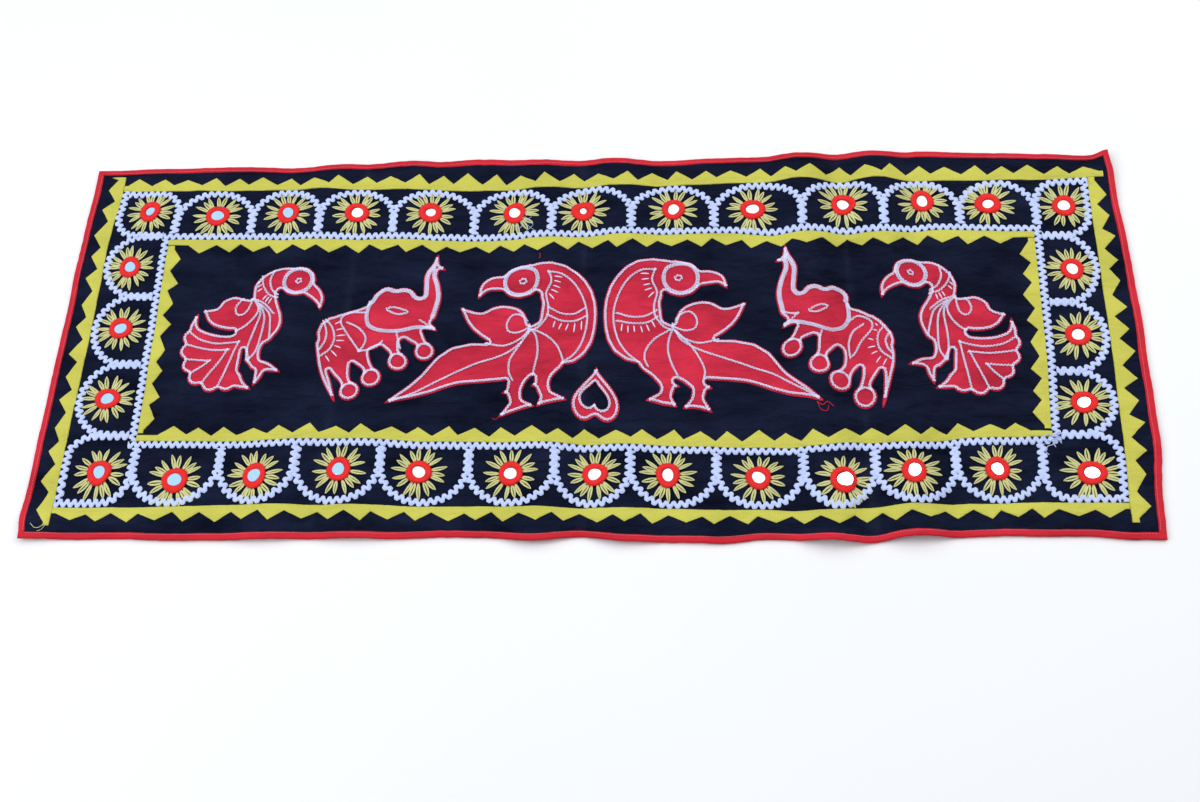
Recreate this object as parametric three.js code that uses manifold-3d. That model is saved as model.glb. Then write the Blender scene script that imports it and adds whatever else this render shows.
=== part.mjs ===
// Applique wall tapestry, lying on its back: a black cotton ground bound in red, two yellow sawtooth
// frames, arches of white zigzag braid with a round mirror in each, and a row of red animals.
// Millimetres, +Z up, +Y towards the edge that it hangs from, origin under the middle of the cloth.
import * as THREE from "three";
import { mergeVertices } from "three/addons/utils/BufferGeometryUtils.js";
import Module from "manifold-3d";

const wasm = await Module();
wasm.setup();

// Driving dimensions
const WIDTH = 1143;
const HEIGHT = 457;
const GROUND_THICK = 1.2;
const PATCH_THICK = 1;
const SEAM_GAP = 0.3;
const TRIM_GAP = 0.5;
const BINDING = { wide: 7, thick: 1, settlesBy: 45 };
const BRAID = { wide: 7.4, thick: 1.4, legShare: 0.38, legPitch: 2, cornerRadius: 24 };
const TOOTH = { pitch: 29.5, band: 7, deep: 9.5, plainEnd: 4, wander: 0.1, bandWander: 1, deepWander: 1.6 };
const MIRROR = { radius: 9, thick: 1.5, sides: 12, heightShare: 0.48 };
const ARC_STEPS = 4;
const LIMB_STEPS = 3;
const CAP_SIDES = 12;
const BOW_STEPS = 8;
const FLAT_WITHIN = 0.03;
const COLOUR = { black: 0x12151f, red: 0xc62a3c, yellow: 0xc8c13c, white: 0xcfd9f2, silver: 0xe4eaf0 };

// Storage folds, a row each: where the fold meets the top and the bottom edge, how high the cloth stands
// beside it, and how far the rise reaches to either side.
const FOLDS = [
  { topX: -254, bottomX: -272, lift: 4, reach: 92 },
  { topX: -9, bottomX: 3, lift: 5, reach: 86 },
  { topX: 274, bottomX: 294, lift: 10, reach: 82 },
];

// Corners that stand up a little, a row each: the corner, height and reach.
const RISES = [
  { x: 571.5, y: 228.5, lift: 6, reach: 64 },
  { x: -571.5, y: -228.5, lift: 3, reach: 56 },
];

// The four sides, clockwise from the top, a row each in a frame of its own: s runs clockwise along the side
// and d outwards from the middle. outer and inner are the straight edges of the sawtooth strips, start is
// where the first arch begins and cells are the arches' widths. bow is how far the edge bulges at its middle.
// aside and out are how far each mirror lies along and out from the middle of its arch, the corner loop's
// first. flare widens the far end of the outer strip.
const SIDES = [
  {
    name: "top", turn: 0, edge: HEIGHT / 2, long: true, bow: 0, start: -466.5, flare: 0,
    cells: [85, 78, 84, 91, 87, 88, 91, 96, 88, 83, 79],
    aside: [1.5, 3, 2, -0.5, -4.5, 1.5, -9.5, 1, -5.5, 1.5, 2, -9.5],
    out: [3, -3.5, -0.5, -1, 0.5, -1, -1, -1.5, -4, 1, 4.5, 1.5],
    outer: 195.5, outerFrom: -540.5, outerTo: 560, inner: 130, innerFrom: -469, innerTo: 478.5,
  },
  {
    name: "right", turn: -90, edge: WIDTH / 2, long: false, bow: 9.5, start: -124.5, flare: 0,
    cells: [86, 82, 75], aside: [-3.5, 2.5, -1.5, 0], out: [2.5, 2, 0, -1],
    outer: 543.5, outerFrom: -195, outerTo: 212, inner: 478.5, innerFrom: -121, innerTo: 112,
  },
  {
    name: "bottom", turn: 180, edge: HEIGHT / 2, long: true, bow: 0, start: -466.5, flare: 0,
    cells: [90, 80, 72, 87, 87, 77, 89, 91, 89, 80, 91],
    aside: [-8, 4.5, 3.5, -3, 1.5, 5.5, -3, 0, 4.5, -2.5, 0, -2.5],
    out: [8.5, -1, 1, 8, 0.5, -1.5, -1, -0.5, -1.5, -2, 5.5, 9],
    outer: 192, outerFrom: -543, outerTo: 540.5, inner: 121, innerFrom: -478.5, innerTo: 469,
  },
  {
    name: "left", turn: 90, edge: WIDTH / 2, long: false, bow: 2.5, start: -114.5, flare: 7,
    cells: [86, 85, 78.5], aside: [-7, 0.5, 1.5, -2], out: [-3, 1, 1.5, 3.5],
    outer: 541, outerFrom: -214, outerTo: 217, inner: 469, innerFrom: -112, innerTo: 121,
  },
];
SIDES.forEach((side, k) => {
  side.before = SIDES[(k + 3) % 4];
  side.after = SIDES[(k + 1) % 4];
  side.crown = side.outer - TRIM_GAP - BRAID.wide / 2;
  side.rail = side.inner + TRIM_GAP + BRAID.wide / 2;
  side.foot = side.rail + BRAID.wide / 2 + TRIM_GAP;
  side.end = side.cells.reduce((sum, cell) => sum + cell, side.start);
});

// The cut shapes, a row for each limb: its centreline and its half width along it, from root to tip.
const BIRD = [
  { limb: "back", x: [-8, 18, 34, 36, 30, 16], y: [60, 54, 32, 4, -22, -34], r: [16, 25, 29, 31, 30, 20] },
  { limb: "wing", x: [-8, -22, -42, -62, -81], y: [-6, -1, 1, 5, 21], r: [5, 21, 24, 12.5, 1] },
  { limb: "flank", x: [8, -14], y: [-11, -24], r: [13, 12] },
  { limb: "tail", x: [10, -35, -80, -112, -153], y: [-38, -45, -49, -71, -95], r: [22, 23, 24, 13, 1] },
];
// The two birds hold their heads and stand differently.
const LEFT_BIRD = [
  ...BIRD,
  { limb: "head", x: [-18, -16], y: [53, 53], r: [22, 22] },
  { limb: "beak", x: [-34, -46, -56, -63], y: [52, 52, 47, 33], r: [10, 10, 7, 1] },
  { limb: "near leg", x: [-8, -15, -18, -15], y: [-52, -66, -80, -94], r: [16, 11, 9, 7] },
  { limb: "near spur", x: [-18, -31], y: [-78, -82], r: [6, 1] },
  { limb: "near foot", x: [-33, -15, 4], y: [-109, -97, -99], r: [1, 7, 1] },
  { limb: "far leg", x: [18, 12, 12, 16], y: [-46, -64, -76, -87], r: [16, 10, 8, 7] },
  { limb: "far spur", x: [10, 0], y: [-74, -76], r: [5, 1] },
  { limb: "far foot", x: [7, 18, 37], y: [-99, -89, -90], r: [1, 7, 1] },
];
const RIGHT_BIRD = [
  ...BIRD,
  { limb: "head", x: [-15, -13], y: [52, 52], r: [22, 22] },
  { limb: "beak", x: [-31, -44, -55, -62], y: [52, 53, 50, 39], r: [10, 9.5, 6.5, 1] },
  { limb: "near leg", x: [-12, -23, -31, -29], y: [-52, -64, -77, -88], r: [16, 11, 8, 7] },
  { limb: "near spur", x: [-31, -44], y: [-75, -78], r: [6, 1] },
  { limb: "near foot", x: [-43, -29, -15], y: [-101, -92, -97.5], r: [1, 7, 1] },
  { limb: "far leg", x: [16, 7, 1, 3], y: [-46, -61, -74, -85], r: [16, 10, 8, 7] },
  { limb: "far spur", x: [0, -11], y: [-73, -75], r: [5, 1] },
  { limb: "far foot", x: [-8, 4, 22], y: [-96, -88, -90], r: [1, 7, 1] },
];
// The right elephant is shorter and stands with a lower back.
const TRUNK = [
  { limb: "trunk", x: [50, 58, 57, 55, 59, 61], y: [20, 36, 52, 66, 80, 96], r: [16, 11, 9.5, 7.5, 5, 1] },
  { limb: "trunk lip", x: [59, 70], y: [80, 75], r: [5, 1] },
];
const LEFT_ELEPHANT = [
  ...TRUNK,
  { limb: "body", x: [-40, -20, 0, 20], y: [-7, -2, 0, -2], r: [24, 26, 28, 18] },
  { limb: "head", x: [12, 21, 37], y: [18, 20, 24], r: [26, 26, 17] },
  { limb: "hind brow", x: [4, 10], y: [34, 38], r: [11, 12] },
  { limb: "fore brow", x: [26, 30], y: [37, 37], r: [12, 12] },
  { limb: "tusk", x: [40, 54, 66], y: [4, 4, -3], r: [10, 6, 1] },
  { limb: "tail", x: [-56, -52, -44, -36], y: [-20, -50, -70, -89], r: [8, 5, 4, 1] },
  { limb: "hind leg", x: [-40, -34, -26, -21], y: [-25, -48, -66, -77], r: [18, 12, 6, 12] },
  { limb: "second leg", x: [-22, -13, -3, 1], y: [-18, -36, -51, -62], r: [16, 11, 6, 12] },
  { limb: "third leg", x: [12, 20, 25, 28], y: [-8, -23, -34, -43], r: [14, 9.5, 5.8, 11.5] },
  { limb: "fore leg", x: [36, 46, 52, 55], y: [-2, -13, -20, -29], r: [12, 9, 5.8, 11.5] },
];
const RIGHT_ELEPHANT = [
  ...TRUNK,
  { limb: "rump", x: [-28, -17], y: [-19, -7], r: [22, 23.5] },
  { limb: "body", x: [-17, 0, 20], y: [-7, -1, -2], r: [23.5, 26, 16] },
  { limb: "head", x: [13, 22, 37], y: [15.5, 17, 21], r: [22, 22.5, 16] },
  { limb: "hind brow", x: [6, 11], y: [33, 35.5], r: [12, 11] },
  { limb: "fore brow", x: [28, 32], y: [33, 32.5], r: [11.5, 11.5] },
  { limb: "tusk", x: [38, 50, 61], y: [5, 4.5, -4], r: [10, 6, 1] },
  { limb: "tail", x: [-42, -43, -43, -41, -38], y: [-30, -43, -55, -71, -88], r: [8, 7, 4.5, 3, 1] },
  { limb: "hind leg", x: [-30, -26, -21.5, -21], y: [-32, -50, -65, -77], r: [15, 8.5, 6, 12] },
  { limb: "second leg", x: [-14, -9, -4, 3.5], y: [-26, -38, -50, -63], r: [16, 10, 6.5, 12] },
  { limb: "third leg", x: [13, 18, 22, 24], y: [-12, -25, -37, -47.5], r: [14, 9.5, 6, 11.5] },
  { limb: "fore leg", x: [34, 42, 47.5, 51], y: [-4, -11, -18, -27.5], r: [12, 9, 6, 11.5] },
];
const PEACOCK = [
  { limb: "head", x: [48, 50], y: [59, 59], r: [19.5, 19.5] },
  { limb: "neck", x: [42, 26, 13, 17, 23, 19], y: [66, 64, 50, 30, 8, -7], r: [12, 14, 14.5, 13, 14.5, 12] },
  { limb: "beak", x: [60, 69, 75, 77], y: [50, 43, 34, 22], r: [9, 8.5, 6, 1] },
  { limb: "wing", x: [5, -9, -24, -38, -52], y: [33, 24, 19, 17, 24], r: [5, 20, 21, 13, 1] },
  { limb: "flank", x: [11, -6], y: [17, -7], r: [10, 10] },
  { limb: "top feather", x: [5, -22, -47, -60, -58], y: [-12, -17, -11, 1, 20], r: [10, 10, 9, 6, 1] },
  { limb: "last feather", x: [-8, 0, 12], y: [-60, -67, -73], r: [10, 6, 1] },
  { limb: "leg", x: [11, 9, 12], y: [-8, -27, -41], r: [12, 9, 7] },
  { limb: "heel", x: [10, 1], y: [-41, -38], r: [5, 1] },
  { limb: "toe", x: [13, 27, 42], y: [-43, -47, -54], r: [7, 6, 1] },
  { limb: "spur", x: [20, 18, 14], y: [-48, -58, -69], r: [6, 5, 1] },
];
// The peacock's tail, a reach for each lobe.
const FAN = { x: -8, y: -18, from: 171, to: 262, rootRadius: 6, lobeRadius: 10.5 };
FAN.reach = [53, 54, 55, 57, 54, 48];
// The heart and the hole in it: middle, size, how much its right hangs lower and how full its notch is.
const HEART_EDGES = [
  { edge: "outer", x: 0, y: 0, wide: 51.5, tall: 61.5, skew: 0.12, full: 4.25 },
  { edge: "hole", x: -1, y: -1.5, wide: 29.5, tall: 31, skew: 0.28, full: 0 },
];
const HEART_CURVE = { middle: 2.5, tall: 29, fullPower: 12, steps: 32 };

// Where each shape lies: flip -1 mirrors it, turn leans it, in degrees, and size scales it.
const FIGURES = [
  { name: "peacock_left", limbs: PEACOCK, fan: FAN, x: -366.5, y: 13.5, flip: 1, turn: 0, size: 1 },
  { name: "elephant_left", limbs: LEFT_ELEPHANT, x: -226.5, y: 13.5, flip: 1, turn: 0, size: 1 },
  { name: "bird_left", limbs: LEFT_BIRD, x: -54.5, y: 16.5, flip: 1, turn: 0, size: 1 },
  { name: "bird_right", limbs: RIGHT_BIRD, x: 87.5, y: 18.5, flip: -1, turn: 0.8, size: 1.03 },
  { name: "elephant_right", limbs: RIGHT_ELEPHANT, x: 272.5, y: 10, flip: -1, turn: -3, size: 1.05 },
  { name: "peacock_right", limbs: PEACOCK, fan: FAN, x: 386, y: 8.5, flip: -1, turn: -8.5, size: 1 },
];
const HEART_AT = { x: 13, y: -66 };

// A steady value from -1 to 1 that makes each hand-cut piece a little different.
function uneven(index, salt) {
  return 2 * ((index * 0.618034 + salt * 0.754878) % 1) - 1;
}

function ease(share) {
  const t = Math.min(Math.max(share, 0), 1);
  return t * t * (3 - 2 * t);
}

// Where a line from the bottom edge to the top edge is at y.
function slanted({ bottomX, topX }, y) {
  return THREE.MathUtils.lerp(bottomX, topX, y / HEIGHT + 0.5);
}

// Height of the ground's underside above the floor: the hem stands on the binding's lower leaf, and the
// cloth rises beside each fold and at the soft rises. Elsewhere it lies flat.
function lie(x, y) {
  const fromEdge = Math.min(WIDTH / 2 - Math.abs(x), HEIGHT / 2 - Math.abs(y));
  const settle = ease((fromEdge - BINDING.wide) / (BINDING.settlesBy - BINDING.wide));
  let height = (BINDING.thick + SEAM_GAP) * (1 - settle);
  for (const fold of FOLDS) {
    const t = Math.min(Math.abs(x - slanted(fold, y)) / fold.reach, 1);
    height += 16 * fold.lift * t * t * (1 - t) * (1 - t);
  }
  for (const rise of RISES) {
    const t = Math.min(Math.hypot(x - rise.x, y - rise.y) / rise.reach, 1);
    height += rise.lift * (1 - t * t) ** 2;
  }
  return height;
}

// Lines along which the cloth bends: beside the edges, and across each fold with the fold's slant.
const EDGE_LINES = [-10, BINDING.wide, 27, BINDING.settlesBy];
const FOLD_LINES = [-1, -0.74, -0.42, 0, 0.42, 0.74, 1];
const besideEdges = (half) => EDGE_LINES.flatMap((inset) => [inset - half, half - inset]);
const besideFold = ({ topX, bottomX, reach }) =>
  FOLD_LINES.map((step) => ({ topX: topX + step * reach, bottomX: bottomX + step * reach }));
const LINES_X = [
  ...besideEdges(WIDTH / 2).map((x) => ({ topX: x, bottomX: x })),
  ...FOLDS.flatMap(besideFold),
].sort((a, b) => a.topX - b.topX);
const LINES_Y = besideEdges(HEIGHT / 2).sort((a, b) => a - b);

function bendPoint(i, j) {
  const y = LINES_Y[j];
  const x = slanted(LINES_X[i], y);
  return new THREE.Vector3(x, y, lie(x, y));
}

// Height of the ground's underside as its flat facets have it, each cell split from low left to high right.
function facetHeight(x, y) {
  const i = LINES_X.findIndex((line) => slanted(line, y) > x) - 1;
  const j = LINES_Y.findIndex((line) => line > y) - 1;
  const low = bendPoint(i, j);
  const high = bendPoint(i + 1, j + 1);
  const leftOfSplit = (high.x - low.x) * (y - low.y) > (high.y - low.y) * (x - low.x);
  const side = leftOfSplit ? bendPoint(i, j + 1) : bendPoint(i + 1, j);
  const { normal, constant } = new THREE.Plane().setFromCoplanarPoints(low, side, high);
  return -(normal.x * x + normal.y * y + constant) / normal.z;
}

function solidOf(geometry) {
  geometry.deleteAttribute("normal");
  geometry.deleteAttribute("uv");
  const merged = mergeVertices(geometry, 1e-4);
  const vertProperties = new Float32Array(merged.attributes.position.array);
  const triVerts = new Uint32Array(merged.index.array);
  return new wasm.Manifold(new wasm.Mesh({ numProp: 3, vertProperties, triVerts }));
}

// All that lies under the cloth's surface when that is raised by offset.
const PRISM_DEEP = 20;
const PRISM_TALL = 80;
const underCache = new Map();
function under(offset) {
  if (!underCache.has(offset)) {
    const cellsX = LINES_X.length - 1;
    const cellsY = LINES_Y.length - 1;
    const block = new THREE.BoxGeometry(cellsX, cellsY, 2, cellsX, cellsY, 1);
    const at = block.attributes.position;
    for (let k = 0; k < at.count; k++) {
      const { x, y, z } = bendPoint(Math.round(at.getX(k) + cellsX / 2), Math.round(at.getY(k) + cellsY / 2));
      at.setXYZ(k, x, y, at.getZ(k) > 0 ? z + offset : -2 * PRISM_DEEP);
    }
    underCache.set(offset, solidOf(block));
  }
  return underCache.get(offset);
}

function prism(shape, turn = 0) {
  const settings = { depth: PRISM_TALL, bevelEnabled: false, curveSegments: ARC_STEPS };
  const geometry = new THREE.ExtrudeGeometry(shape, settings);
  geometry.translate(0, 0, -PRISM_DEEP);
  geometry.rotateZ(THREE.MathUtils.degToRad(turn));
  return solidOf(geometry);
}

function outline(points) {
  return new THREE.Shape(points.map(([s, d]) => new THREE.Vector2(s, d)));
}

function box(fromS, toS, fromD, toD) {
  return outline([[fromS, fromD], [toS, fromD], [toS, toD], [fromS, toD]]);
}

function join(solids) {
  return solids.reduce((whole, next) => whole.add(next));
}

// A flat shape laid on the cloth, between two heights above the ground's underside.
function draped(flat, low, high) {
  return flat.intersect(under(high)).subtract(under(low));
}

const PATCH_LOW = GROUND_THICK + SEAM_GAP;
const tapestry = new THREE.Group();

function addMesh(name, geometry, colour, finish = { roughness: 0.9, metalness: 0 }) {
  const mesh = new THREE.Mesh(geometry, new THREE.MeshStandardMaterial({ color: colour, ...finish }));
  mesh.name = name;
  tapestry.add(mesh);
  return mesh;
}

function addSolid(name, solid, colour) {
  const { vertProperties, triVerts } = solid.simplify(FLAT_WITHIN).getMesh();
  const geometry = new THREE.BufferGeometry();
  geometry.setAttribute("position", new THREE.BufferAttribute(new Float32Array(vertProperties), 3));
  geometry.setIndex(new THREE.BufferAttribute(new Uint32Array(triVerts), 1));
  geometry.computeVertexNormals();
  addMesh(name, geometry, colour);
}

// Points along a side from one end to the other, so far in from its edge and with its bulge.
function alongEdge(side, half, inset) {
  const steps = side.bow ? BOW_STEPS : 1;
  return Array.from({ length: steps + 1 }, (_, k) => {
    const s = half * ((2 * k) / steps - 1);
    const bulge = side.bow * Math.max(1 - (s / side.after.edge) ** 2, 0);
    return [s, side.edge - inset + bulge];
  });
}

// The ground cloth ends inside the binding's fold.
function addGround() {
  const inset = BINDING.thick + SEAM_GAP;
  const corner = new THREE.Vector2();
  const points = SIDES.flatMap((side) =>
    alongEdge(side, side.after.edge - inset, inset).slice(0, -1).map(([s, d]) =>
      corner.set(s, d).rotateAround(new THREE.Vector2(), THREE.MathUtils.degToRad(side.turn)).toArray()));
  addSolid("ground_cloth", draped(prism(outline(points)), 0, GROUND_THICK), COLOUR.black);
}

// A binding strip, folded round the ground's edge, with mitred ends.
function addBinding(side) {
  const half = side.after.edge - SEAM_GAP * Math.SQRT1_2;
  const strip = outline([
    ...alongEdge(side, half, 0),
    ...alongEdge(side, half - BINDING.wide, BINDING.wide).reverse(),
  ]);
  const reach = BINDING.thick + SEAM_GAP;
  const whole = draped(prism(strip, side.turn), -reach, GROUND_THICK + reach);
  const length = side.after.edge + BINDING.wide;
  const mouth = outline([
    [-length, side.edge - 2 * BINDING.wide],
    [-length, side.edge - BINDING.thick],
    ...alongEdge(side, half, BINDING.thick),
    [length, side.edge - BINDING.thick],
    [length, side.edge - 2 * BINDING.wide],
  ]);
  const fold = draped(prism(mouth, side.turn), -SEAM_GAP, PATCH_LOW);
  addSolid(`binding_${side.name}`, whole.subtract(fold), COLOUR.red);
}

// A yellow strip with one straight edge and hand-cut teeth that point outwards (way 1) or inwards (way -1).
function addSawtooth(name, side, { straight, from, to, plain, way, salt, flare = 0 }) {
  const count = Math.round((to - from - 2 * plain) / TOOTH.pitch);
  const pitch = (to - from - 2 * plain) / count;
  const points = [[from, straight], [to, straight]];
  for (let k = count; k >= 0; k--) {
    const wander = k > 0 && k < count ? pitch * TOOTH.wander * uneven(k, salt) : 0;
    const band = TOOTH.band + TOOTH.bandWander * uneven(k, salt + 1);
    if (k === count) points.push([to, straight + way * (band + flare)]);
    points.push([from + plain + k * pitch + wander, straight + way * band]);
    if (k === 0) points.push([from, straight + way * band]);
    if (k > 0) {
      const tip = from + plain + (k - 0.5 + TOOTH.wander * uneven(k, salt + 2)) * pitch;
      const deep = TOOTH.band + TOOTH.deep + TOOTH.deepWander * uneven(k, salt + 3);
      points.push([tip, straight + way * deep]);
    }
  }
  const flat = prism(outline(points), side.turn);
  addSolid(name, draped(flat, PATCH_LOW, PATCH_LOW + PATCH_THICK), COLOUR.yellow);
}

function addSawteeth(side, k) {
  addSawtooth(`outer_sawtooth_${side.name}`, side, {
    straight: side.outer, from: side.outerFrom, to: side.outerTo, plain: TOOTH.plainEnd, way: 1, salt: k,
    flare: side.flare,
  });
  const clearOfCorner = side.long ? 2 * (TOOTH.band + TOOTH.plainEnd) : TOOTH.plainEnd;
  addSawtooth(`inner_sawtooth_${side.name}`, side, {
    straight: side.inner, from: side.innerFrom, to: side.innerTo, plain: clearOfCorner, way: -1, salt: k + 4,
  });
}

// A ribbon of braid along a path.
function ribbon(path, turn) {
  const at = path.getPoints(ARC_STEPS);
  const half = BRAID.wide / 2;
  const left = [];
  const right = [];
  at.forEach((point, k) => {
    const into = point.clone().sub(at[Math.max(k - 1, 0)]).normalize();
    const out = at[Math.min(k + 1, at.length - 1)].clone().sub(point).normalize();
    const along = into.clone().add(out).normalize();
    const across = new THREE.Vector2(-along.y, along.x);
    const firm = k === 0 || k === at.length - 1 ? 1 : along.dot(out);
    left.push(point.clone().addScaledVector(across, half / firm));
    right.unshift(point.clone().addScaledVector(across, -half / firm));
  });
  return prism(new THREE.Shape([...left, ...right]), turn);
}

// One arch: two legs up from the rail and a round crown.
function archPath(side, fromS, toS) {
  const leg = side.foot + BRAID.legShare * (side.crown - side.foot);
  const path = new THREE.Path().moveTo(fromS, side.foot).lineTo(fromS, leg);
  path.absellipse((fromS + toS) / 2, leg, (toS - fromS) / 2, side.crown - leg, Math.PI, 0, true);
  return path.lineTo(toS, side.foot);
}

// Halves of the corner loops at both ends of a side: a leg up from the rail, against the arch beside it,
// and round into a run along the crowns. At a loop's outer corner the closing half runs through.
function cornerPaths(side) {
  const r = BRAID.cornerRadius;
  const half = BRAID.wide / 2;
  const first = side.start - BRAID.legPitch / 2;
  const last = side.end + BRAID.legPitch / 2;
  const opening = new THREE.Path().moveTo(first, side.foot).lineTo(first, side.crown - r);
  opening.absarc(first - r, side.crown - r, r, 0, Math.PI / 2, false);
  opening.lineTo(half + TRIM_GAP - side.before.crown, side.crown);
  const closing = new THREE.Path().moveTo(last, side.foot).lineTo(last, side.crown - r);
  closing.absarc(last + r, side.crown - r, r, Math.PI, Math.PI / 2, true);
  closing.lineTo(side.after.crown + half, side.crown);
  return [opening, closing];
}

// All the arches of one side with half a corner loop at each end, each leg against its neighbour's.
function addScallops(side) {
  const solids = cornerPaths(side).map((path) => ribbon(path, side.turn));
  let fromS = side.start;
  for (const cell of side.cells) {
    const arch = archPath(side, fromS + BRAID.legPitch / 2, fromS + cell - BRAID.legPitch / 2);
    solids.push(ribbon(arch, side.turn));
    fromS += cell;
  }
  const braid = draped(join(solids), PATCH_LOW, PATCH_LOW + BRAID.thick);
  addSolid(`scallops_${side.name}`, braid, COLOUR.white);
}

// The straight braid at the foot of the arches; the long sides run through at the corners.
function addRail(side) {
  const half = BRAID.wide / 2;
  const past = side.long ? half : -half - TRIM_GAP;
  const strip = box(-side.before.rail - past, side.after.rail + past, side.rail - half, side.rail + half);
  const braid = draped(prism(strip, side.turn), PATCH_LOW, PATCH_LOW + BRAID.thick);
  addSolid(`rail_${side.name}`, braid, COLOUR.white);
}

// A round mirror, tilted with the cloth under it and clear of it all round.
function addMirror(name, side, s, d) {
  const up = new THREE.Vector3(0, 0, 1);
  const at = new THREE.Vector3(s, d, 0).applyAxisAngle(up, THREE.MathUtils.degToRad(side.turn));
  const r = MIRROR.radius;
  const slopeX = (facetHeight(at.x + r, at.y) - facetHeight(at.x - r, at.y)) / (2 * r);
  const slopeY = (facetHeight(at.x, at.y + r) - facetHeight(at.x, at.y - r)) / (2 * r);
  let seat = facetHeight(at.x, at.y);
  for (let k = 0; k < 3 * MIRROR.sides; k++) {
    const angle = (k / MIRROR.sides) * 2 * Math.PI;
    const reach = (r * (1 + Math.floor(k / MIRROR.sides))) / 3;
    const dx = reach * Math.cos(angle);
    const dy = reach * Math.sin(angle);
    seat = Math.max(seat, facetHeight(at.x + dx, at.y + dy) - slopeX * dx - slopeY * dy);
  }
  const disc = new THREE.CylinderGeometry(r, r, MIRROR.thick, MIRROR.sides).rotateX(Math.PI / 2);
  disc.translate(0, 0, MIRROR.thick / 2);
  const mesh = addMesh(name, disc, COLOUR.silver, { roughness: 0.05, metalness: 1 });
  mesh.position.set(at.x, at.y, seat + PATCH_LOW);
  const normal = new THREE.Vector3(-slopeX, -slopeY, 1).normalize();
  mesh.quaternion.setFromUnitVectors(up, normal);
}

function addMirrors() {
  let count = 0;
  for (const side of SIDES) {
    const low = side.before.end + BRAID.legPitch / 2;
    const middles = [[(side.start - BRAID.legPitch / 2 - side.before.crown) / 2, (low + side.crown) / 2]];
    let fromS = side.start;
    for (const cell of side.cells) {
      middles.push([fromS + cell / 2, side.foot + MIRROR.heightShare * (side.crown - side.foot)]);
      fromS += cell;
    }
    middles.forEach(([s, d], k) => {
      count += 1;
      addMirror(`mirror_${String(count).padStart(2, "0")}`, side, s + side.aside[k], d + side.out[k]);
    });
  }
}

// A tapering limb with round ends along a smooth centreline.
function limb(x, y, r) {
  const spine = new THREE.CatmullRomCurve3(x.map((_, k) => new THREE.Vector3(x[k], y[k], r[k])));
  const steps = (x.length - 1) * LIMB_STEPS;
  const left = [];
  const right = [];
  for (let k = 0; k <= steps; k++) {
    const point = spine.getPoint(k / steps);
    const along = spine.getTangent(k / steps).setZ(0).normalize();
    const across = new THREE.Vector2(-along.y, along.x).multiplyScalar(point.z);
    left.push(new THREE.Vector2(point.x, point.y).add(across));
    right.unshift(new THREE.Vector2(point.x, point.y).sub(across));
  }
  const ends = [0, x.length - 1].map((k) => {
    const cap = new THREE.CylinderGeometry(r[k], r[k], PRISM_TALL, CAP_SIDES).rotateX(Math.PI / 2);
    return solidOf(cap.translate(x[k], y[k], PRISM_TALL / 2 - PRISM_DEEP));
  });
  return join([prism(new THREE.Shape([...left, ...right])), ...ends]);
}

// The peacock's tail: lobes spread round its root.
function fanLobes(fan, flip) {
  const lobes = [];
  fan.reach.forEach((reach, k) => {
    const angle = THREE.MathUtils.degToRad(fan.from + ((fan.to - fan.from) * k) / (fan.reach.length - 1));
    const tipX = fan.x + reach * Math.cos(angle);
    const tipY = fan.y + reach * Math.sin(angle);
    const r = [fan.rootRadius, fan.lobeRadius];
    lobes.push({ x: [flip * fan.x, flip * tipX], y: [fan.y, tipY], r });
  });
  return lobes;
}

function addFigure({ name, limbs, fan, x, y, flip, turn, size }) {
  const rows = limbs.map((row) => ({ ...row, x: row.x.map((value) => flip * value) }));
  if (fan) rows.push(...fanLobes(fan, flip));
  const cut = join(rows.map((row) => limb(row.x, row.y, row.r)));
  const flat = cut.scale([size, size, 1]).rotate([0, 0, turn]).translate(x, y, 0);
  addSolid(name, draped(flat, PATCH_LOW, PATCH_LOW + PATCH_THICK), COLOUR.red);
}

// One edge of the heart, its point up.
function heartOutline({ x, y, wide, tall, skew, full }) {
  const points = [];
  for (let k = 0; k < HEART_CURVE.steps; k++) {
    const t = (k / HEART_CURVE.steps) * 2 * Math.PI;
    const notch = full * Math.max(Math.cos(t), 0) ** HEART_CURVE.fullPower;
    const up = 5 * Math.cos(2 * t) + 2 * Math.cos(3 * t) + Math.cos(4 * t) - 13 * Math.cos(t) - notch;
    const across = (wide * Math.sin(t) ** 3) / 2;
    points.push([x + across, y + (tall * (up - HEART_CURVE.middle)) / HEART_CURVE.tall - skew * across]);
  }
  return points;
}

function addHeart() {
  const [shape, hole] = HEART_EDGES.map((edge) => outline(heartOutline(edge)));
  shape.holes.push(hole);
  const flat = prism(shape).translate(HEART_AT.x, HEART_AT.y, 0);
  addSolid("heart", draped(flat, PATCH_LOW, PATCH_LOW + PATCH_THICK), COLOUR.red);
}

addGround();
SIDES.forEach(addBinding);
SIDES.forEach(addSawteeth);
SIDES.forEach(addScallops);
SIDES.forEach(addRail);
FIGURES.forEach(addFigure);
addHeart();
addMirrors();

export default tapestry;
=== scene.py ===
import math

import bmesh
import bpy
from mathutils import Matrix, Quaternion, Vector, kdtree, noise


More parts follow.
